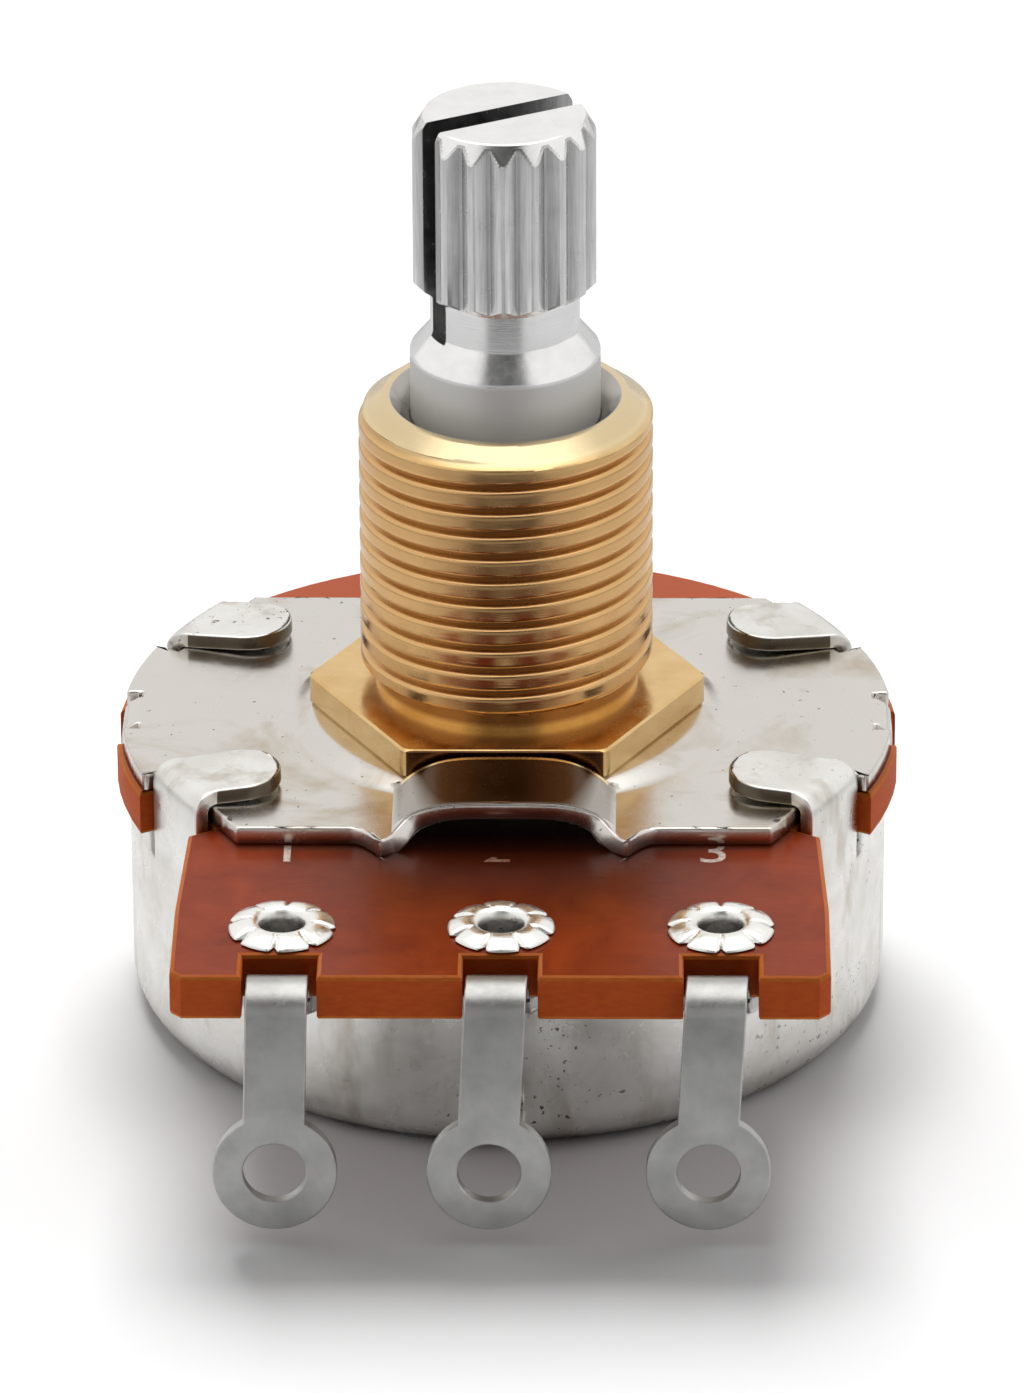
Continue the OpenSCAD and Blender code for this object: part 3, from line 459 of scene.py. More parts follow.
# %% Brass on the bushing
CREST, THREAD_DEPTH = 4.65, 0.24
Z_FLANGE, Z_MOUTH = 10.8, 20.6
RIM_IN = 3.63
HEX_HALF = 5.5
brass = Finish("turned_brass", (0.78, 0.52, 0.23), 1.0, 0.2)
patches = brass.ramp(brass.noise(1.8, 4, 0.6), (0.35, 0.0), (0.7, 1.0))
colour = brass.blend(patches, (0.80, 0.56, 0.27), (0.70, 0.45, 0.18))
radius, height, depth = brass.from_axis(), brass.part("Z"), brass.part("Y")
on_barrel = brass.share(height, Z_FLANGE + 0.1, Z_FLANGE + 0.3)
on_thread = brass.times(on_barrel, brass.share(height, Z_MOUTH - 0.8, Z_MOUTH - 0.5, 1.0, 0.0))
colour = brass.blend(on_thread, colour, (0.72, 0.44, 0.19))
# The thread's front, toward the lugs, is painted dark, as painted dark reflection of the wafer.
painted_thread_front_reflection = brass.times(on_thread, brass.share(depth, -4.5, -3.8, 0.55, 0.0))
colour = brass.blend(painted_thread_front_reflection, colour, (0.36, 0.20, 0.09))
in_groove = brass.times(on_barrel, brass.share(radius, CREST - 0.354, CREST - 0.035, 0.75, 0.0))
colour = brass.blend(in_groove, colour, (0.24, 0.10, 0.035))
# The countersink is painted grey, for dirt and painted shade.
mouth_dirt_and_shade = brass.times(brass.below(radius, RIM_IN + 0.03), brass.above(height, Z_MOUTH - 1.6))
colour = brass.blend(mouth_dirt_and_shade, colour, (0.46, 0.44, 0.41))
# The flange's front face behind the arch is painted nearly black, as painted shade and dark reflection.
painted_flange_face_shade = brass.times(brass.below(depth, 0.04 - HEX_HALF), brass.below(height, Z_FLANGE - 0.02))
colour = brass.blend(painted_flange_face_shade, colour, (0.10, 0.045, 0.02))
# The mouth bevel is painted pale, as clean brass and a painted highlight.
bevel_clean_and_highlight = brass.times(brass.share(height, Z_MOUTH - 0.55, Z_MOUTH - 0.4, 0.0, 0.75),
                       brass.above(radius, RIM_IN + 0.03))
brass.paint(brass.blend(bevel_clean_and_highlight, colour, (0.86, 0.72, 0.45)))
brass.polish(brass.ramp(brass.noise(0.7, 4, 0.6), (0.3, 0.15), (0.7, 0.30)))
brass.dent(brass.noise(0.05, 2, 0.5, brass.stretch((0.04, 0.04, 1))), 0.003)
print("made", brass.material.name)

# %% [markdown]
# ## Finish: plated shaft
# The shaft is turned from bright bar and plated. Tool marks run round it, and along the spline
# they run lengthwise from the rolling, with painted shade in the valleys between the teeth. The
# collar, which turns in the bushing, is ground matt.

# %% Plating on the shaft
TIP_R, ROOT_R = 2.9, 2.63
Z_HEAD, Z_COLLAR = 24.25, 22.2
plated = Finish("plated_shaft", (0.86, 0.86, 0.86), 1.0, 0.16)
around = plated.noise(0.045, 2, 0.5, plated.stretch((0.05, 0.05, 1)))
along = plated.noise(0.06, 2, 0.5, plated.stretch((1, 1, 0.04)))
on_head = plated.share(plated.part("Z"), Z_HEAD + 0.15, Z_HEAD + 0.35)
on_collar = plated.share(plated.part("Z"), Z_COLLAR - 0.15, Z_COLLAR, 1.0, 0.0)
on_tooth_wall = plated.times(on_head, plated.below(plated.facing("Z"), 0.5))
# Painted shade in the valleys between the teeth.
painted_valley_shade = plated.share(plated.from_axis(), ROOT_R - 0.005, TIP_R - 0.034, 0.62, 1.0)
grooves = plated.times(plated.ramp(along, (0.35, 0.84), (0.62, 1.0)), painted_valley_shade)
shade = plated.ramp(plated.noise(1.2, 3, 0.6), (0.35, 0.92), (0.7, 0.85))
shade = plated.blend(on_tooth_wall, shade, grooves, "MULTIPLY")
plated.paint(plated.blend(on_collar, shade, (0.66, 0.655, 0.64)))
gloss = plated.ramp(plated.noise(0.6, 4, 0.6), (0.3, 0.16), (0.72, 0.30))
plated.polish(plated.blend(on_collar, gloss, (0.5, 0.5, 0.5)))
plated.dent(plated.blend(on_tooth_wall, around, along), 0.0025)
print("made", plated.material.name)

# %% [markdown]
# ## Finish: the inside
# Nobody sees the inside of a closed can, but each piece still gets what it is made of. These
# CAD nodes keep their shape, so their finish goes straight into their material slots.

# %% Carbon, silver, spring metal and moulded plastic
carbon = Finish("carbon_film", (0.025, 0.025, 0.027), 0.0, 0.75)
carbon.paint(carbon.ramp(carbon.noise(0.08, 4, 0.7), (0.3, 0.018), (0.7, 0.05)))
carbon.dent(carbon.noise(0.1, 3, 0.6), 0.004)
silver = Finish("silver_film", (0.74, 0.73, 0.70), 1.0, 0.42)
silver.paint(silver.ramp(silver.noise(0.3, 4, 0.6), (0.3, (0.78, 0.77, 0.75)), (0.7, (0.60, 0.59, 0.56))))
spring = Finish("spring_steel", (0.45, 0.45, 0.46), 1.0, 0.33)
spring.polish(spring.ramp(spring.noise(0.3, 4, 0.6, spring.stretch((0.2, 1, 1))), (0.3, 0.26), (0.7, 0.42)))
bronze = Finish("spring_bronze", (0.70, 0.42, 0.22), 1.0, 0.28)
bronze.paint(bronze.ramp(bronze.noise(1.0, 3, 0.6), (0.3, (0.74, 0.46, 0.24)), (0.7, (0.58, 0.32, 0.16))))
moulding = Finish("moulded_rotor", (0.035, 0.03, 0.028), 0.0, 0.5)
moulding.paint(moulding.ramp(moulding.noise(0.8, 3, 0.6), (0.3, 0.028), (0.7, 0.045)))
moulding.dent(moulding.noise(0.15, 3, 0.6), 0.006)

inside = {
    "carbon_track": carbon, "left_silver_pad": silver, "right_silver_pad": silver,
    "collector_ring": silver, "retaining_ring": spring, "stop_plate": spring,
    "friction_washer": bronze, "wiper_contact": bronze, "rotor": moulding}
for node, finish in inside.items():
    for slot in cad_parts[node].material_slots:
        slot.material = finish.material
print("inner pieces finished:", len(inside))

# %% [markdown]
# ## Helpers for turned and bent pieces
# A few helpers carry most of the modelling. One spins a half section about the shaft axis, as a
# lathe would. One cuts a mesh along a plane, and one rounds sharp edges, because no real edge is
# a mathematical line, and it is the rounding that catches the light. The last turns a finished
# bmesh into an object, gives it its finish and ties it to its body.

# %% Spin, slice, soften and finish


def turn(bm, section, steps):
    """Spins (radius, height) points about the Z axis and closes the poles."""
    chain = [bm.verts.new((radius, 0, height)) for radius, height in section]
    edges = [bm.edges.new(pair) for pair in zip(chain, chain[1:])]
    bmesh.ops.spin(bm, geom=chain + edges, cent=(0, 0, 0), axis=(0, 0, 1), dvec=(0, 0, 0),
                   angle=math.tau, steps=steps, use_merge=True, use_duplicate=False)
    bmesh.ops.remove_doubles(bm, verts=bm.verts, dist=1e-4)


def slice_at(bm, point, normal, where=lambda middle: True, drop_outer=False):
    """Cuts along a plane, only through the faces whose middle passes a test."""
    faces = [f for f in bm.faces if where(f.calc_center_median())]
    edges = dict.fromkeys(e for f in faces for e in f.edges)
    verts = dict.fromkeys(v for f in faces for v in f.verts)
    bmesh.ops.bisect_plane(bm, geom=[*faces, *edges, *verts], plane_co=point, plane_no=normal,
                           clear_outer=drop_outer)


def drop_faces(bm, test):
    """Deletes the faces whose middle passes a test."""
    waste = [f for f in bm.faces if test(f.calc_center_median())]
    bmesh.ops.delete(bm, geom=waste, context="FACES")


def pull_row(bm, row):
    """Extrudes a row of open edges and returns the new row, still in the old place."""
    grown = bmesh.ops.extrude_edge_only(bm, edges=row)["geom"]
    new_points = {g for g in grown if isinstance(g, bmesh.types.BMVert)}
    return [g for g in grown if isinstance(g, bmesh.types.BMEdge) and len(g.link_faces) == 1
            and new_points.issuperset(g.verts)]


def soften(bm, width, sharper_than, where):
    """Bevels the edges that are sharper than an angle, where a test on their middle agrees."""
    edges = [edge for edge in bm.edges if len(edge.link_faces) == 2
             and edge.calc_face_angle(0) > math.radians(sharper_than)
             and where((edge.verts[0].co + edge.verts[1].co) / 2)]
    bmesh.ops.bevel(bm, geom=edges, offset=width, offset_type="OFFSET", segments=2,
                    profile=0.5, affect="EDGES", clamp_overlap=True, material=-1)
    return len(edges)


def dress(bm, name, finish, body, nodes=(), smooth=32):
    """Shrinks a bmesh to metres and makes it a finished piece that stands for CAD nodes."""
    bmesh.ops.recalc_face_normals(bm, faces=bm.faces)
    bmesh.ops.scale(bm, vec=(MM, MM, MM), verts=bm.verts)
    mesh = bpy.data.meshes.new(name)
    bm.to_mesh(mesh)
    bm.free()
    mesh.materials.append(finish.material)
    mesh.shade_smooth()
    mesh.set_sharp_from_angle(angle=math.radians(smooth))
    piece = bpy.data.objects.new(name, mesh)
    scene.collection.objects.link(piece)
    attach(piece, body)
    if nodes:
        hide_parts(*nodes)
    print(f"{name}: {len(mesh.vertices)} points, {len(mesh.polygons)} faces")
    return piece


def smoothstep(low, high, value):
    """0 below low, 1 above high, and a soft S between them."""
    t = min(1.0, max(0.0, (value - low) / (high - low)))
    return t * t * (3 - 2 * t)


def pull_in(vert, limit):
    """Moves a point toward the axis until it is no further out than a limit."""
    radius = math.hypot(vert.co.x, vert.co.y)
    if radius > limit:
        vert.co.xy *= limit / radius


# %% [markdown]
# ## The bushing
# The bushing is turned from hexagonal brass bar: a flange, a relief, a fine right-hand thread
# of 32 turns to the inch, a bevel at the mouth and a countersink round the shaft. The thread
# could be faked with a bump, but its outline shows against the white, so it is cut for real.
# One tooth of the thread, drawn as a short chain of points, is spun and lifted at the same
# time, which is exactly how a screw is cut. Turns above each other then share their points.

# %% Cut the thread
PITCH = 25.4 / 32
FRONT_GROOVE = 19.44               # height of a groove where the thread faces the front
GROOVE_SHARPNESS = 5
Z_BOTTOM = 11.1
RIM_OUT, UNDERCUT = 3.9, 4.18
TURN_STEPS, TOOTH_POINTS = 144, 18

bushing = bmesh.new()
tooth = []
turns_down = math.ceil((FRONT_GROOVE - Z_BOTTOM) / PITCH) + 1
z_first = FRONT_GROOVE - (turns_down + 0.25) * PITCH
for i in range(TOOTH_POINTS + 1):
    along_tooth = i / TOOTH_POINTS
    groove = (0.5 - 0.5 * math.cos(math.tau * along_tooth)) ** GROOVE_SHARPNESS
    tooth.append(bushing.verts.new((CREST - THREAD_DEPTH * groove, 0, z_first + along_tooth * PITCH)))
tooth_edges = [bushing.edges.new(pair) for pair in zip(tooth, tooth[1:])]
turns = math.ceil((Z_MOUTH - z_first) / PITCH) + 1
bmesh.ops.spin(bushing, geom=tooth + tooth_edges, cent=(0, 0, 0), axis=(0, 0, 1),
               dvec=(0, 0, PITCH / TURN_STEPS), angle=math.tau * turns,
               steps=TURN_STEPS * turns, use_merge=False, use_duplicate=False)
bmesh.ops.remove_doubles(bushing, verts=bushing.verts, dist=1e-3)
for height, side in ((Z_MOUTH, 1), (Z_BOTTOM, -1)):
    slice_at(bushing, (0, 0, height), (0, 0, side), drop_outer=True)


def barrel_limit(height):
    """Largest radius the barrel may have: the bevel at the mouth and the undercut at the foot."""
    mouth = RIM_OUT + max(0.0, Z_MOUTH - height) * 0.75 / 0.55
    foot = UNDERCUT + max(0.0, height - 11.42) * 1.9
    return min(mouth, foot)


for vert in bushing.verts:
    pull_in(vert, barrel_limit(vert.co.z))
print("thread:", turns, "turns cut,", len(bushing.faces), "faces")

# %% [markdown]
# The rest of the bushing is one more spin. Its points at the flange are pushed out to a
# hexagon, with the corners a little blunt, as the bar stock is. Two bridges then join the spun
# body to the two open ends of the thread.

# %% Turn the flange, the tail and the bore
Z_SEAT, Z_TAIL, BORE = 9.8, 8.6, 3.03
PLATE_HOLE, CLINCH = 4.0, 4.65
EDGE = 0.07
CORNER_REACH = 1 / math.cos(math.radians(30)) - 0.012


def open_ring(height, radius=None):
    """The open edges of the bushing at a height, and at a radius if one is given."""
    return [edge for edge in bushing.edges if edge.is_boundary and all(
        abs(v.co.z - height) < 1e-3 and (radius is None or abs(v.co.xy.length - radius) < 0.01)
        for v in edge.verts)]


thread_ends = [open_ring(Z_MOUTH), open_ring(Z_BOTTOM)]
body_section = [
    (UNDERCUT, Z_FLANGE), (HEX_HALF - 0.3, Z_FLANGE), (HEX_HALF - EDGE, Z_FLANGE),
    (HEX_HALF, Z_FLANGE - EDGE), (HEX_HALF, Z_SEAT + EDGE), (HEX_HALF - EDGE, Z_SEAT),
    (PLATE_HOLE, Z_SEAT), (PLATE_HOLE, 9.2), (CLINCH, 9.2), (CLINCH, Z_TAIL), (BORE, Z_TAIL),
    (BORE, 12), (BORE, Z_MOUTH - 0.6), (RIM_IN, Z_MOUTH)]
flange_bm = bmesh.new()
turn(flange_bm, body_section, 288)
for vert in flange_bm.verts:
    if vert.co.xy.length > HEX_HALF - 0.4:
        angle = math.degrees(math.atan2(vert.co.y, vert.co.x))
        off_flat = math.radians((angle % 60) - 30)
        vert.co.xy *= min(CORNER_REACH, 1 / math.cos(off_flat))
flange_mesh = bpy.data.meshes.new("flange_blank")
flange_bm.to_mesh(flange_mesh)
flange_bm.free()
bushing.from_mesh(flange_mesh)
bpy.data.meshes.remove(flange_mesh)
for thread_end, height, radius in zip(thread_ends, (Z_MOUTH, Z_FLANGE), (RIM_IN, UNDERCUT)):
    bmesh.ops.bridge_loops(bushing, edges=thread_end + open_ring(height, radius))
print("open edges left:", sum(edge.is_boundary for edge in bushing.edges))
dress(bushing, "threaded_bushing", brass, "housing", ["bushing"], smooth=38)

# %% [markdown]
# ## The shaft
# The shaft has a head of 18 rolled teeth, split by a slot so that it springs into a knob, then
# a neck, a cone and the plain collar that turns in the bushing. It is one spin with many
# columns. The teeth are made by pulling each column of the head in to the tooth's depth, but
# never past the bevels, so the bevels run out over the teeth in little arches as they do when a
# lathe tool meets a spline.

# %% Turn the shaft and shape its teeth
TEETH, COLUMNS_PER_TOOTH = 18, 16
Z_END = 30.2
NECK_R, JOURNAL_R, RECESS_R, FLAT_HALF = 2.35, 3.0, 2.3, 1.7
TOOTH_ANGLE = 360 / TEETH
shaft = bmesh.new()
section = [
    (0, 1.0), (2.6, 1.0), (2.9, 1.6), (RECESS_R, 1.6), (RECESS_R, 5.8), (JOURNAL_R, 5.8), (JOURNAL_R, 7.83),
    (RECESS_R, 7.83), (RECESS_R, 8.37), (JOURNAL_R, 8.37), (JOURNAL_R, 19.0), (JOURNAL_R, Z_COLLAR),
    (2.97, 22.28), (2.38, 23.0), (NECK_R, 23.08), (NECK_R, 24.1), (2.36, Z_HEAD)]
section += [(2.36 + (TIP_R - 2.36) * i / 12, Z_HEAD + 0.42 * i / 12) for i in range(1, 13)]
section += [(TIP_R, height) for height in (25.6, 27.0, 28.4, 29.5)]
section += [(TIP_R - 0.36 * i / 14, 29.55 + 0.62 * i / 14) for i in range(1, 15)]
section += [(2.48, Z_END), (1.6, Z_END), (0.6, Z_END), (0, Z_END)]
turn(shaft, section, TEETH * COLUMNS_PER_TOOTH)
for vert in shaft.verts:
    if vert.co.z > Z_HEAD - 0.01 and vert.co.xy.length > 0.1:
        angle = math.degrees(math.atan2(vert.co.y, vert.co.x)) + 90
        half_tooth = TOOTH_ANGLE / 2
        off_tip = abs((angle + half_tooth) % TOOTH_ANGLE - half_tooth) / half_tooth
        down_flank = min(1.0, max(0.0, (off_tip - 0.20) / 0.70)) ** 0.92
        pull_in(vert, TIP_R - (TIP_R - ROOT_R) * down_flank)
    elif 1.65 < vert.co.z < 5.75:
        vert.co.y = max(-FLAT_HALF, min(FLAT_HALF, vert.co.y))
print("shaft:", len(shaft.faces), "faces before the slot")

# %% [markdown]
# The slot is sawn with a slitting cutter: a thin slab is taken away with a boolean. Only the
# new edges along the slot's two walls are rounded, so the teeth stay crisp.

# %% Saw the slot
SLOT_TURN, SLOT_WIDTH, Z_SLOT = math.radians(28), 0.9, 22.95
SLAB = 20


def subtract(bm, cutter_bm):
    """Takes one closed bmesh away from another and returns a new bmesh."""
    objects = []
    for label, source in (("blank", bm), ("cutter", cutter_bm)):
        bmesh.ops.recalc_face_normals(source, faces=source.faces)
        mesh = bpy.data.meshes.new(label)
        source.to_mesh(mesh)
        source.free()
        objects.append(bpy.data.objects.new(label, mesh))
        scene.collection.objects.link(objects[-1])
    blank, cutter = objects
    saw = blank.modifiers.new("saw", "BOOLEAN")
    saw.operation, saw.solver, saw.object = "DIFFERENCE", "EXACT", cutter
    result = bmesh.new()
    result.from_mesh(blank.evaluated_get(bpy.context.evaluated_depsgraph_get()).to_mesh())
    for item in objects:
        mesh = item.data
        bpy.data.objects.remove(item)
        bpy.data.meshes.remove(mesh)
    return result


slab = bmesh.new()
bmesh.ops.create_cube(slab, size=1)
bmesh.ops.scale(slab, vec=(SLAB, SLOT_WIDTH, SLAB), verts=slab.verts)
bmesh.ops.translate(slab, vec=(0, 0, Z_SLOT + SLAB / 2), verts=slab.verts)
bmesh.ops.rotate(slab, cent=(0, 0, 0), matrix=Matrix.Rotation(SLOT_TURN, 3, "Z"), verts=slab.verts)
shaft = subtract(shaft, slab)
across = Vector((-math.sin(SLOT_TURN), math.cos(SLOT_TURN), 0))
rounded = soften(shaft, 0.045, 25, lambda p: p.z > Z_SLOT + 0.05
                 and abs(abs(p.dot(across)) - SLOT_WIDTH / 2) < 1e-3)
print("edges rounded along the slot:", rounded)
dress(shaft, "splined_shaft", plated, "shaft_group", ["shaft"], smooth=20)

# %% [markdown]
# ## The can
# The can is drawn from one sheet, so it is modelled as one surface that gets its thickness at
# the end. A spin in steps of one degree gives columns to cut along: what stands above the rim
# between the tabs is deleted, and so are the slits beside them. The first part of each fold is
# already in the spun section.

# %% Spin the cup
CAN_R, Z_RIM, Z_FACE, WALL = 12.1, 7.4, 9.5, 0.5
FOOT_R, FOLD_R = 1.2, 0.7
Z_FOLD = Z_FACE - 0.18
ROOT = CAN_R - FOLD_R
can = bmesh.new()
section = [(0.0, 0.0), (4.0, 0.0), (8.0, 0.0), (10.0, 0.0)]
section += [(CAN_R - FOOT_R + FOOT_R * math.sin(math.radians(a)), FOOT_R - FOOT_R * math.cos(math.radians(a)))
            for a in range(0, 91, 9)]
section += [(CAN_R, z / 10) for z in range(14, 62, 2)]
section += [(CAN_R, z) for z in (6.2, 6.4, 6.6, 7.0, Z_RIM, 8.0, 8.6, Z_FOLD)]
section += [(ROOT + FOLD_R * math.cos(math.radians(a)), Z_FOLD + FOLD_R * math.sin(math.radians(a)))
            for a in range(15, 91, 15)]
turn(can, section, 360)
print("cup:", len(can.faces), "faces")

# %% Cut between the tabs
TAB_AT, TAB_SPREAD, SLIT_SPREAD, SLIT_DEPTH = 30, 7, 9, 0.8
WINDOW_Z, WINDOW_SPREAD = 6.2, 50
QUARTERS = ((1, 1), (1, -1), (-1, 1), (-1, -1))


def is_waste(middle):
    """True where the press cuts the cup away."""
    off_tab = abs(math.degrees(math.atan2(abs(middle.y), abs(middle.x))) - TAB_AT)
    off_front = math.degrees(math.atan2(abs(middle.x), -middle.y))
    between_tabs = off_tab > TAB_SPREAD and middle.z > Z_RIM
    in_slit = TAB_SPREAD < off_tab < SLIT_SPREAD and middle.z > Z_RIM - SLIT_DEPTH
    in_window = off_front < WINDOW_SPREAD and middle.z > WINDOW_Z
    return middle.xy.length > 9 and (between_tabs or in_slit or in_window)


drop_faces(can, is_waste)
print("cup after cutting:", len(can.faces), "faces")

# %% [markdown]
# The press also pushes a small dimple in at the front, which is the stop inside the can. Then
# each tab is drawn out of its fold, row by row: five rows narrow it to the width of its tip, and
# seven more close the tip round. It lies on the plate and rises a little toward its end.

# %% Press the stop and draw out the tabs
TIP_RADIUS, REACH, LAY, LIFT = 1.35, 1.5, math.radians(13), math.radians(3)
STRAIGHT_ROWS, ROUND_ROWS = 5, 7
STOP_Z, STOP_DEPTH = 1.9, 1.1
for vert in can.verts:
    if vert.co.y < -11 and abs(vert.co.z - STOP_Z) < 1.0:
        past_flat = max(0.0, abs(vert.co.z - STOP_Z) - 0.4)
        vert.co.y += STOP_DEPTH * (1 - smoothstep(0.25, 0.72, math.hypot(vert.co.x, past_flat)))


def tab_spot(start, lateral, step, root, lay, side):
    """Where a point of the tab lies after a number of rows, seen from above."""
    tip = root + REACH * lay
    if step <= STRAIGHT_ROWS:
        goal = tip + lateral * TIP_RADIUS * side
        return Vector((start.x, start.y, 0)).lerp(goal, step / STRAIGHT_ROWS)
    closing = (step - STRAIGHT_ROWS) / ROUND_ROWS
    edge_angle = math.radians(90 - 45 * closing)
    sideways = lateral * math.sin(edge_angle)
    ahead = math.cos(edge_angle)
    ahead += closing * (math.cos(math.asin(sideways)) - ahead)
    return tip + TIP_RADIUS * (ahead * lay + sideways * side)


def draw_tab(sx, sy):
    """Draws one tab out of the fold in one quarter of the can."""
    lay = Vector((-sx * math.cos(LAY), -sy * math.sin(LAY), 0))
    side = Vector((-sx * math.sin(LAY), sy * math.cos(LAY), 0))
    root = ROOT * Vector((sx * math.cos(math.radians(TAB_AT)), sy * math.sin(math.radians(TAB_AT)), 0))
    row = [e for e in can.edges if e.is_boundary
           and all(abs(v.co.xy.length - ROOT) < 0.01 and v.co.z > Z_FOLD + 0.6
                   and v.co.x * sx > 0 and v.co.y * sy > 0 for v in e.verts)]
    starts = []
    for step in range(1, STRAIGHT_ROWS + ROUND_ROWS + 1):
        row = pull_row(can, row)
        points = sorted({v for e in row for v in e.verts}, key=lambda v: v.co.dot(side))
        starts = starts or [v.co.copy() for v in points]
        for vert, start in zip(points, starts):
            lateral = (math.degrees(math.atan2(abs(start.y), abs(start.x))) - TAB_AT) / TAB_SPREAD
            spot = tab_spot(start, lateral, step, root, lay, side)
            climb = math.tan(LIFT) * max(0.0, (spot - root).dot(lay))
            vert.co = Vector((spot.x, spot.y, Z_FOLD + FOLD_R + climb))


for sx, sy in QUARTERS:
    draw_tab(sx, sy)
print("can surface:", len(can.faces), "faces")
can_piece = dress(can, "drawn_can", tin, "housing", ["rear_can"], smooth=40)


def thicken(piece, thickness, edge, sharper_than):
    """Gives a surface its sheet thickness, then rounds the cut edges."""
    sheet = piece.modifiers.new("sheet", "SOLIDIFY")
    sheet.thickness = thickness * MM
    sheet.offset = -1.0
    sheet.use_even_offset = True
    rim = piece.modifiers.new("edges", "BEVEL")
    rim.width = edge * MM
    rim.segments = 2
    rim.limit_method = "ANGLE"
    rim.angle_limit = math.radians(sharper_than)
    rim.use_clamp_overlap = False


thicken(can_piece, WALL, 0.07, 50)

# %% [markdown]
# ## The front plate
# The plate is blanked, then pressed: a raised round boss carries the flange, and in front of it
# a bridge is lanced and pushed up. A polar grid suits it, because the boss's slope then follows
# rings of the grid and shades cleanly. The press is one height rule, applied to every point.

# %% Blank the plate
PLATE_R, PLATE_T = 12.3, 0.6
SEAT, NOTCH_SIDE = 11.4, -1.65     # inner end and side of the notches that the tabs pass through
plate = bmesh.new()
radii = [4.02, 4.8, 5.4]
radii += [5.6 + 0.1 * i for i in range(20)]
radii += [7.6 + 0.2 * i for i in range(23)] + [12.15, PLATE_R]
turn(plate, [(r, 0.0) for r in radii], 360)
for sign in (1, -1):
    slice_at(plate, (0, sign * PLATE_Y, 0), (0, sign, 0), drop_outer=True)
for sx, sy in QUARTERS:
    outward = Vector((sx * math.cos(math.radians(TAB_AT)), sy * math.sin(math.radians(TAB_AT)), 0))
    sideways = Vector((-sx * math.sin(math.radians(TAB_AT)), sy * math.cos(math.radians(TAB_AT)), 0))
    slice_at(plate, outward * SEAT, outward,
             lambda p: p.dot(outward) > SEAT - 0.5 and p.dot(sideways) > NOTCH_SIDE - 0.35)
    slice_at(plate, sideways * NOTCH_SIDE, sideways,
             lambda p: p.dot(outward) > SEAT and abs(p.dot(sideways) - NOTCH_SIDE) < 0.6)
    drop_faces(plate, lambda p: p.dot(outward) > SEAT and p.dot(sideways) > NOTCH_SIDE)
bmesh.ops.remove_doubles(plate, verts=plate.verts, dist=0.02)
print("plate blank:", len(plate.faces), "faces")

# %% Slit the side tongues and bend them down
TONGUE_HALF, SLIT, FOLD_X, TONGUE_DROP = 0.95, 0.35, 11.7, 0.7
TONGUE_FROM = FOLD_X - 0.4
for edge_y in (TONGUE_HALF, TONGUE_HALF + SLIT, -TONGUE_HALF, -TONGUE_HALF - SLIT):
    slice_at(plate, (0, edge_y, 0), (0, 1, 0), lambda p: abs(p.x) > TONGUE_FROM and abs(p.y) < 2)
for side_x in (1, -1):
    slice_at(plate, (side_x * FOLD_X, 0, 0), (1, 0, 0),
             lambda p: p.x * side_x > TONGUE_FROM and abs(p.y) < TONGUE_HALF + SLIT)
drop_faces(plate, lambda p: abs(p.x) > FOLD_X and TONGUE_HALF < abs(p.y) < TONGUE_HALF + SLIT)
for vert in plate.verts:
    if abs(vert.co.x) > FOLD_X and abs(vert.co.y) < TONGUE_HALF + 1e-3:
        limit = math.sqrt(PLATE_R ** 2 - vert.co.y ** 2)
        angle = min(1.0, (abs(vert.co.x) - FOLD_X) / (limit - FOLD_X)) * math.pi / 2
        vert.co.x = math.copysign(FOLD_X + PLATE_T * math.sin(angle), vert.co.x)
        vert.co.z = -PLATE_T * (1 - math.cos(angle))
ends = [e for e in plate.edges if e.is_boundary and all(v.co.z < -PLATE_T + 0.01 for v in e.verts)]
grown = bmesh.ops.extrude_edge_only(plate, edges=ends)["geom"]
bmesh.ops.translate(plate, vec=(0, 0, -TONGUE_DROP), verts=[g for g in grown if isinstance(g, bmesh.types.BMVert)])
print("tongue edges pulled down:", len(ends))

# %% [markdown]
# The bridge is the only place where the polar grid would shade badly, so the grid is cut out
# there and one side of the gap is pulled across to the other in even steps.

# %% Replace the grid under the bridge by even rows
ARCH_HALF, ARCH_STEPS = 3.5, 34
SNAP = 0.012
for side_x in (1, -1):
    slice_at(plate, (side_x * ARCH_HALF, 0, 0), (1, 0, 0),
             lambda p: abs(p.x - side_x * 3.5) < 0.4 and p.y < ARCH_BACK + 0.4)
slice_at(plate, (0, ARCH_BACK, 0), (0, 1, 0),
         lambda p: abs(p.x) < ARCH_HALF + 0.35 and ARCH_BACK - 0.8 < p.y < ARCH_BACK + 0.8)
for vert in plate.verts:
    if vert.co.y < ARCH_BACK + SNAP and abs(abs(vert.co.x) - ARCH_HALF) < SNAP:
        vert.co.x = math.copysign(ARCH_HALF, vert.co.x)
    if abs(vert.co.y - ARCH_BACK) < SNAP and abs(vert.co.x) < ARCH_HALF + SNAP:
        vert.co.y = ARCH_BACK
bmesh.ops.remove_doubles(plate, verts=plate.verts, dist=SNAP / 2)
for side_x in (1, -1):
    corner = Vector((side_x * ARCH_HALF, -PLATE_Y, 0))
    bmesh.ops.pointmerge(plate, verts=[v for v in plate.verts if (v.co - corner).length < 0.03], merge_co=corner)
drop_faces(plate, lambda p: abs(p.x) < ARCH_HALF and p.y < ARCH_BACK)
row = [e for e in plate.edges if e.is_boundary
       and all(abs(v.co.x + ARCH_HALF) < 1e-3 and v.co.y < ARCH_BACK + 1e-3 for v in e.verts)]
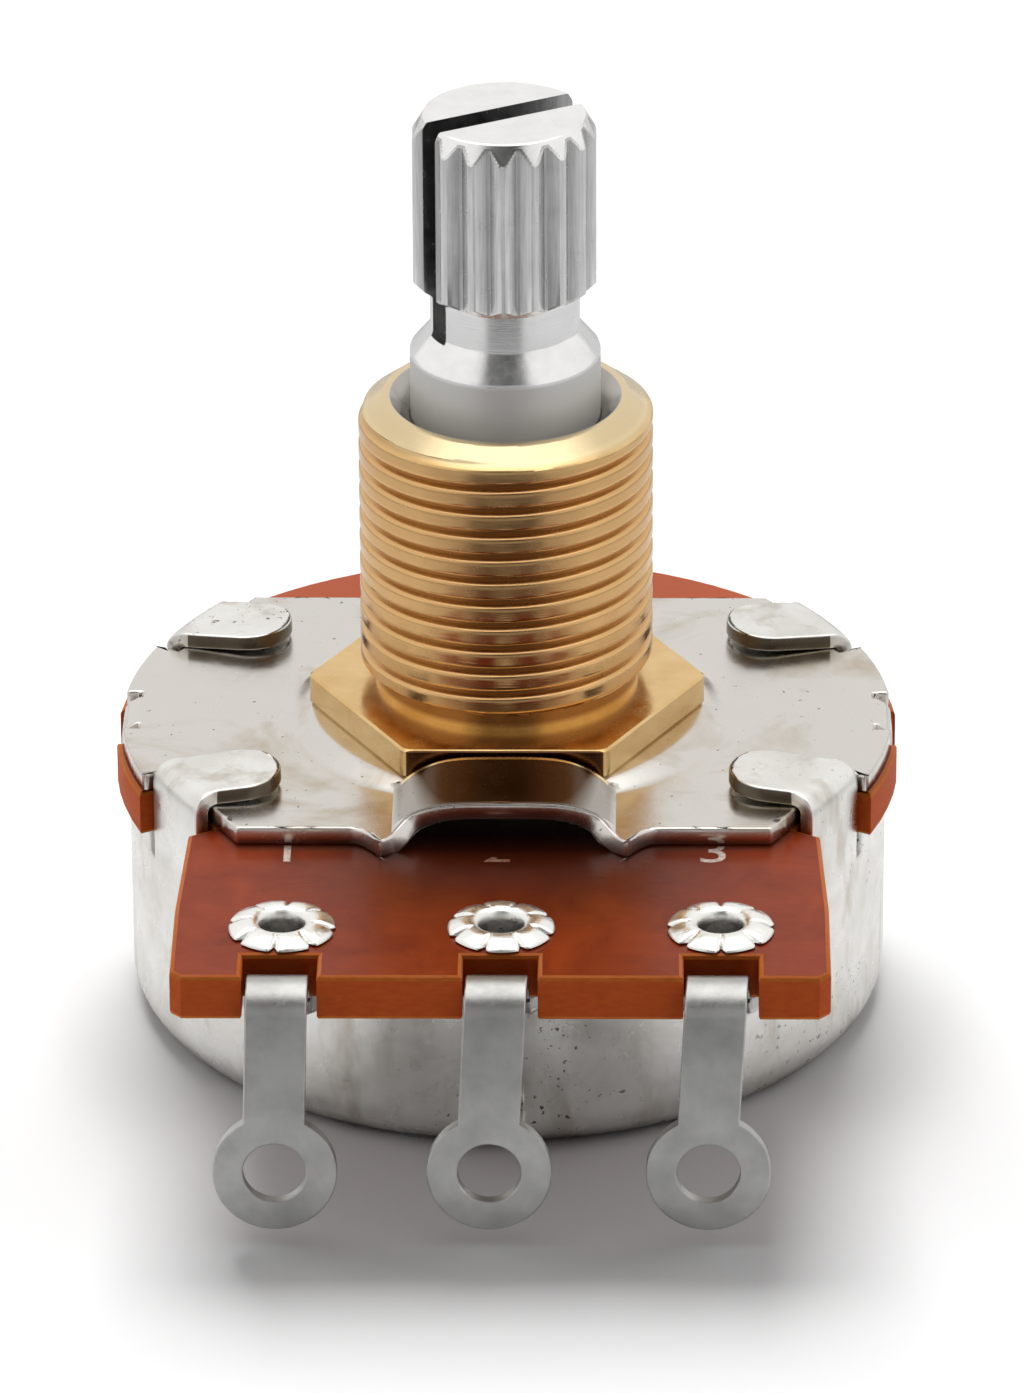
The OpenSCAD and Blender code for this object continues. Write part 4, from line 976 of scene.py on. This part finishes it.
for step in range(ARCH_STEPS):
    row = pull_row(plate, row)
    bmesh.ops.translate(plate, vec=(2 * ARCH_HALF / ARCH_STEPS, 0, 0), verts=list({v for e in row for v in e.verts}))
far_side = [v for v in plate.verts if abs(v.co.x - ARCH_HALF) < 0.02 and v.co.y < ARCH_BACK + 1e-3]
bmesh.ops.remove_doubles(plate, verts=far_side, dist=0.06)
print("bridge grid:", len(row), "by", ARCH_STEPS, "faces")

# %% [markdown]
# Now the press comes down. The bridge is higher at the flange than in front, its back edge leans
# a little forward, and beside its feet the front edge is drawn out into two small ears.

# %% Press the boss and the bridge
BRIDGE_FRONT_RISE, BRIDGE_BACK_RISE, BRIDGE_FLATNESS, BRIDGE_LEAN = 0.8, 1.25, 4, 0.16
EAR_AT, EAR_OUT, EAR_WIDTH = 3.85, 0.95, 0.95
BOSS_TOP, BOSS_FOOT, BOSS_RISE = 6.1, 7.0, 0.3


def bridge_height(x, y):
    """Height of the bridge over the sheet."""
    toward_front = (ARCH_BACK - y) / (ARCH_BACK + PLATE_Y)
    rise = BRIDGE_BACK_RISE + (BRIDGE_FRONT_RISE - BRIDGE_BACK_RISE) * toward_front
    return rise * max(0.0, 1 - (abs(x) / ARCH_HALF) ** BRIDGE_FLATNESS)


def ear_share(x):
    """How far the front edge is drawn out at a distance from the middle, from 0 to 1."""
    past = (abs(x) - EAR_AT) / EAR_WIDTH
    return max(0.0, 1 - past) ** 1.8 if past > 0 else max(0.0, 1 + 1.1 * past)


for vert in plate.verts:
    if vert.co.z < -1e-6 or abs(vert.co.x) > 11.6:
        continue
    x, y = vert.co.x, vert.co.y
    height = BOSS_RISE * (1 - smoothstep(BOSS_TOP, BOSS_FOOT, vert.co.xy.length))
    if y < ARCH_BACK + 1e-3 and all(f.calc_center_median().y < ARCH_BACK for f in vert.link_faces):
        bridge = bridge_height(x, y)
        height = max(height, bridge)
        vert.co.y -= BRIDGE_LEAN * min(1.0, bridge) * smoothstep(ARCH_BACK - 1, ARCH_BACK, y)
        vert.co.y -= EAR_OUT * ear_share(x) * smoothstep(6.2, PLATE_Y, -vert.co.y)
    vert.co.z = height
bmesh.ops.translate(plate, vec=(0, 0, Z_FACE), verts=plate.verts)
plate_piece = dress(plate, "pressed_plate", nickel, "housing", ["front_plate"], smooth=26)
thicken(plate_piece, PLATE_T, 0.08, 66)

# %% [markdown]
# ## The wafer
# A flat curve is the quickest way to a punched sheet: Blender fills the outline, leaves the
# holes open, gives it thickness and bevels every edge at once. The outline is worked out from
# the same sizes as the tabs and lugs that pass through it.

# %% Punch sheets from flat curves


def mesh_of(curve):
    """Turns a curve or a text into a bmesh and removes the curve."""
    holder = bpy.data.objects.new(curve.name, curve)
    scene.collection.objects.link(holder)
    mesh = bpy.data.meshes.new_from_object(holder.evaluated_get(bpy.context.evaluated_depsgraph_get()))
    bm = bmesh.new()
    bm.from_mesh(mesh)
    bmesh.ops.remove_doubles(bm, verts=bm.verts, dist=1e-4)
    bpy.data.objects.remove(holder)
    bpy.data.curves.remove(curve)
    bpy.data.meshes.remove(mesh)
    return bm


def punched(outline, holes, thickness, bevel):
    """A flat sheet with holes and bevelled edges, centred on z = 0, as a new bmesh."""
    curve = bpy.data.curves.new("punched", "CURVE")
    curve.dimensions = "2D"
    curve.fill_mode = "BOTH"
    curve.extrude = thickness / 2 - bevel
    curve.bevel_depth = bevel
    curve.bevel_resolution = 1
    curve.offset = -bevel
    for loop in [outline, *holes]:
        line = curve.splines.new("POLY")
        line.points.add(len(loop) - 1)
        for point, (px, py) in zip(line.points, loop):
            point.co = (px, py, 0, 1)
        line.use_cyclic_u = True
    return mesh_of(curve)


def circle_points(cx, cy, radius, count, first=0.0, sweep=360.0):
    """Points on a circle or arc, in order."""
    steps = count if sweep >= 360 else count - 1
    return [(cx + radius * math.cos(math.radians(first + sweep * i / steps)),
             cy + radius * math.sin(math.radians(first + sweep * i / steps))) for i in range(count)]


# %% The wafer's outline
WAFER_R, FRONT, HALF_WIDTH, CORNER = 12.49, 17.1, 10.1, 0.35
WAFER_T, WAFER_TOP, WAFER_BORE = 1.5, 8.9, 5.05
LUG_NOTCH_HALF, LUG_NOTCH_BACK = 1.15, 15.65
TAB_HALF, TONGUE_SEAT, TONGUE_NOTCH_HALF = 1.65, 11.65, TONGUE_HALF + 0.2
LUG_X, EYELET_Y, EYELET_HOLE = (-6.75, 0.0, 6.75), -13.95, 1.0
tab_notch_rim = math.sqrt(WAFER_R ** 2 - TAB_HALF ** 2)
tab_notch_spread = math.degrees(math.asin(TAB_HALF / WAFER_R))
tongue_notch_spread = math.degrees(math.asin(TONGUE_NOTCH_HALF / WAFER_R))


def tab_notch(sy):
    """The four corners of the tab notch on the right, behind (sy 1) or in front (sy -1)."""
    c, s = math.cos(math.radians(TAB_AT)), math.sin(math.radians(TAB_AT))
    ends = ((tab_notch_rim, TAB_HALF), (SEAT, TAB_HALF), (SEAT, -TAB_HALF), (tab_notch_rim, -TAB_HALF))
    return [(out * c - off * s, sy * (out * s + off * c)) for out, off in ends[::sy]]


def right_side():
    """The right side from the back to the front edge, clockwise seen from above."""
    beside_tab = TAB_AT - tab_notch_spread - 1
    points = circle_points(0, 0, WAFER_R, 14, 90, TAB_AT + tab_notch_spread + 0.02 - 90)
    points += tab_notch(1)
    points += circle_points(0, 0, WAFER_R, 5, beside_tab, tongue_notch_spread - beside_tab)
    points += [(TONGUE_SEAT, TONGUE_NOTCH_HALF), (TONGUE_SEAT, -TONGUE_NOTCH_HALF)]
    points += circle_points(0, 0, WAFER_R, 5, -tongue_notch_spread, tongue_notch_spread - beside_tab)
    points += tab_notch(-1)
    points += [(HALF_WIDTH, -WAFER_R), (HALF_WIDTH, -FRONT + CORNER), (HALF_WIDTH - CORNER, -FRONT)]
    return points


outline = right_side()
for lug_x in reversed(LUG_X):
    outline += [(lug_x + LUG_NOTCH_HALF, -FRONT), (lug_x + LUG_NOTCH_HALF, -LUG_NOTCH_BACK),
                (lug_x - LUG_NOTCH_HALF, -LUG_NOTCH_BACK), (lug_x - LUG_NOTCH_HALF, -FRONT)]
outline += [(-px, py) for px, py in reversed(right_side())][:-1]
wafer_holes = [circle_points(0, 0, WAFER_BORE, 72)]
wafer_holes += [circle_points(x, EYELET_Y, EYELET_HOLE, 32) for x in LUG_X]
wafer = punched(outline, wafer_holes, WAFER_T, 0.14)
bmesh.ops.translate(wafer, vec=(0, 0, WAFER_TOP - WAFER_T / 2), verts=wafer.verts)
dress(wafer, "phenolic_wafer", phenolic, "housing", ["wafer"], smooth=20)

# %% [markdown]
# ## The solder lugs
# A lug is a flat strip with a pad at one end and a ring at the other, bent over a former. It
# is made the same way here: punched flat, cut across at many places so that it can bend, and
# then every point is moved along the bent path by its distance from the pad. Each strip drifts
# a little to one side on its way down, as in the photo.

# %% Punch and bend the lugs
STRIP_HALF, STRIP_T = 0.95, 0.45
PAD_R, RING_R, RING_HOLE = 1.7, 1.92, 0.975
LOW_R, HOOK_R, HOOK_SWEEP = 0.6, 0.75, math.radians(177)
Z_STRIP, RING_Z = 7.075, 2.52
FLAT_RUN, RISER_Y = 1.415, 15.965
DRIFTS = (0.19, 0.35, 0.37)
BEND_STEP = 0.12
HOOK_START = FLAT_RUN + LOW_R * math.pi / 2
HOOK_END = HOOK_START + HOOK_R * HOOK_SWEEP
STRAIGHT = (Z_STRIP + LOW_R + HOOK_R * math.sin(HOOK_SWEEP) - RING_Z) / -math.cos(HOOK_SWEEP)
TO_RING = HOOK_END + STRAIGHT


def bent(distance, lift):
    """(y, z) of a point that lies a distance along the strip and a lift off its middle plane."""
    if distance < FLAT_RUN:
        return EYELET_Y - distance, Z_STRIP + lift
    if distance < HOOK_START:
        a = (distance - FLAT_RUN) / LOW_R
        reach = LOW_R - lift
        return -RISER_Y + LOW_R - reach * math.sin(a), Z_STRIP + LOW_R - reach * math.cos(a)
    a = min((distance - HOOK_START) / HOOK_R, HOOK_SWEEP)
    reach = HOOK_R - lift
    rest = max(0.0, distance - HOOK_END)
    return (-RISER_Y - HOOK_R + reach * math.cos(a) - math.sin(a) * rest,
            Z_STRIP + LOW_R + reach * math.sin(a) + math.cos(a) * rest)


def lug_blank(drift):
    """The outline of the flat strip: pad, strip and ring, lying along +Y from the pad's middle."""
    pad_meet = math.degrees(math.asin(STRIP_HALF / PAD_R))
    ring_meet = math.degrees(math.asin(STRIP_HALF / RING_R))
    shape = circle_points(0, 0, PAD_R, 30, 90 + pad_meet, 360 - 2 * pad_meet)
    shape += [(STRIP_HALF - drift / 2, HOOK_END)]
    shape += circle_points(-drift, TO_RING, RING_R, 44, -90 + ring_meet, 360 - 2 * ring_meet)
    shape += [(-STRIP_HALF - drift / 2, HOOK_END)]
    return shape


def make_lug(name, lug_x, drift, node):
    """Punches one lug, bends it and puts it at its place."""
    holes = [circle_points(0, 0, EYELET_HOLE, 32), circle_points(-drift, TO_RING, RING_HOLE, 44)]
    lug = punched(lug_blank(drift), holes, STRIP_T, 0.05)
    for i in range(math.ceil((HOOK_END + 0.05 - FLAT_RUN) / BEND_STEP)):
        slice_at(lug, (0, FLAT_RUN + i * BEND_STEP, 0), (0, 1, 0))
    for vert in lug.verts:
        y, z = bent(vert.co.y, vert.co.z)
        vert.co = Vector((vert.co.x + lug_x, y, z))
    dress(lug, name, dull_tin, "housing", [node], smooth=20)


for name, lug_x, drift, node in zip(("lug_one", "lug_two", "lug_three"), LUG_X, DRIFTS,
                                    ("left_lug", "middle_lug", "right_lug")):
    make_lug(name, lug_x, drift, node)

# %% [markdown]
# ## The eyelets
# An eyelet is a little tube whose end is split by a star punch and rolled over. It is spun as a
# tube with a curled lip, and the lip is then drawn in and down between its eight splits, which
# leaves a star of petals. Each star is turned differently, as the tubes fell into the press.

# %% Roll the eyelets
PETALS, POINTS_PER_PETAL = 8, 16
PETAL_ANGLE = 360 / PETALS
LIP_Z, LIP_R = 8.93, 0.9
lip = [(1.05, LIP_Z), (1.25, 8.92), (1.45, 8.91), (1.60, 8.91)]
lip += [(1.655 - 0.055 * (1 - math.cos(math.radians(a))), 8.96 + 0.05 * math.sin(math.radians(a)))
        for a in (0, 45, 90)]
lip += [(1.50, 9.06), (1.38, 9.12), (1.24, 9.175), (1.10, 9.215), (0.97, 9.235), (0.86, 9.22),
        (0.77, 9.16), (0.70, 9.04), (0.66, 8.85)]
eyelet_section = [(0.66, 6.56), (1.45, 6.56), (1.5, 6.62), (1.5, 6.8), (1.45, 6.85), (0.98, 6.85), (0.98, 8.9)] + lip


def make_eyelet(name, lug_x, node, turned):
    """Spins one eyelet, splits its lip into petals and sets it in its hole."""
    eyelet = bmesh.new()
    turn(eyelet, eyelet_section, PETALS * POINTS_PER_PETAL)
    bmesh.ops.bridge_loops(eyelet, edges=[e for e in eyelet.edges if e.is_boundary])
    for vert in eyelet.verts:
        radius = vert.co.xy.length
        if vert.co.z > LIP_Z - 0.035 and radius > LIP_R:
            angle = math.degrees(math.atan2(vert.co.y, vert.co.x)) + turned
            off_split = abs((angle % PETAL_ANGLE) - PETAL_ANGLE / 2) / (PETAL_ANGLE / 2)
            split = smoothstep(0.80, 1.0, off_split)
            outward = smoothstep(LIP_R, 1.25, radius)
            vert.co.xy *= 1 - 0.20 * split * smoothstep(1.2, 1.65, radius)
            vert.co.z -= 0.72 * max(0.0, vert.co.z - LIP_Z) * split ** 1.5 * outward
            if vert.co.z > 9.0:
                vert.co.z += 0.05 * (1 - off_split) ** 0.5 * outward * (1 - split)
    bmesh.ops.translate(eyelet, vec=(lug_x, EYELET_Y, 0), verts=eyelet.verts)
    dress(eyelet, name, bright_tin, "housing", [node], smooth=60)


make_eyelet("eyelet_one", LUG_X[0], "left_eyelet", 8)
make_eyelet("eyelet_two", LUG_X[1], "middle_eyelet", 20)
make_eyelet("eyelet_three", LUG_X[2], "right_eyelet", 0)

# %% [markdown]
# ## The terminal numbers
# The terminals are numbered 1, 2 and 3 in pale ink behind the eyelets. The front plate covers
# the upper part of each number, so what would lie under it is cut off. The 2 lies in the arch's
# shade: its ink is painted dark, as painted shade, and only its foot is kept.

# %% Print the numbers
BASELINE, INK_T, UNDER_PLATE, SHADED_TWO_CUT = -9.45, 0.006, -8.38, -9.15
ink = Finish("pale_ink", (0.72, 0.66, 0.58), 0.0, 0.6)
ink.paint(ink.ramp(ink.noise(0.12, 3, 0.6), (0.35, (0.62, 0.55, 0.50)), (0.7, (0.40, 0.24, 0.18))))
# The 2 lies in the arch's shade: its ink is painted dark, as painted shade.
ink_in_painted_shade = Finish("ink_in_painted_shade", (0.30, 0.17, 0.12), 0.0, 0.6)
ink_in_painted_shade.paint(ink_in_painted_shade.ramp(ink_in_painted_shade.noise(0.12, 3, 0.6), (0.35, (0.40, 0.28, 0.22)), (0.65, (0.26, 0.06, 0.02))))


def print_number(digit, place_x, size, cut_y, finish):
    """Prints one digit on the wafer and cuts away what is covered, or for the 2 what lies in shade."""
    text = bpy.data.curves.new("number_" + digit, "FONT")
    text.body = digit
    text.size = size
    text.align_x = "CENTER"
    text.extrude = INK_T
    number = mesh_of(text)
    bmesh.ops.translate(number, vec=(place_x, BASELINE, WAFER_TOP + 0.004), verts=number.verts)
    slice_at(number, (0, cut_y, 0), (0, 1, 0), drop_outer=True)
    bmesh.ops.holes_fill(number, edges=[e for e in number.edges if e.is_boundary], sides=0)
    dress(number, "print_" + digit, finish, "housing")


print_number("1", -6.75, 2.2, UNDER_PLATE, ink)
print_number("2", -0.2, 1.9, SHADED_TWO_CUT, ink_in_painted_shade)
print_number("3", 6.55, 2.2, UNDER_PLATE, ink)
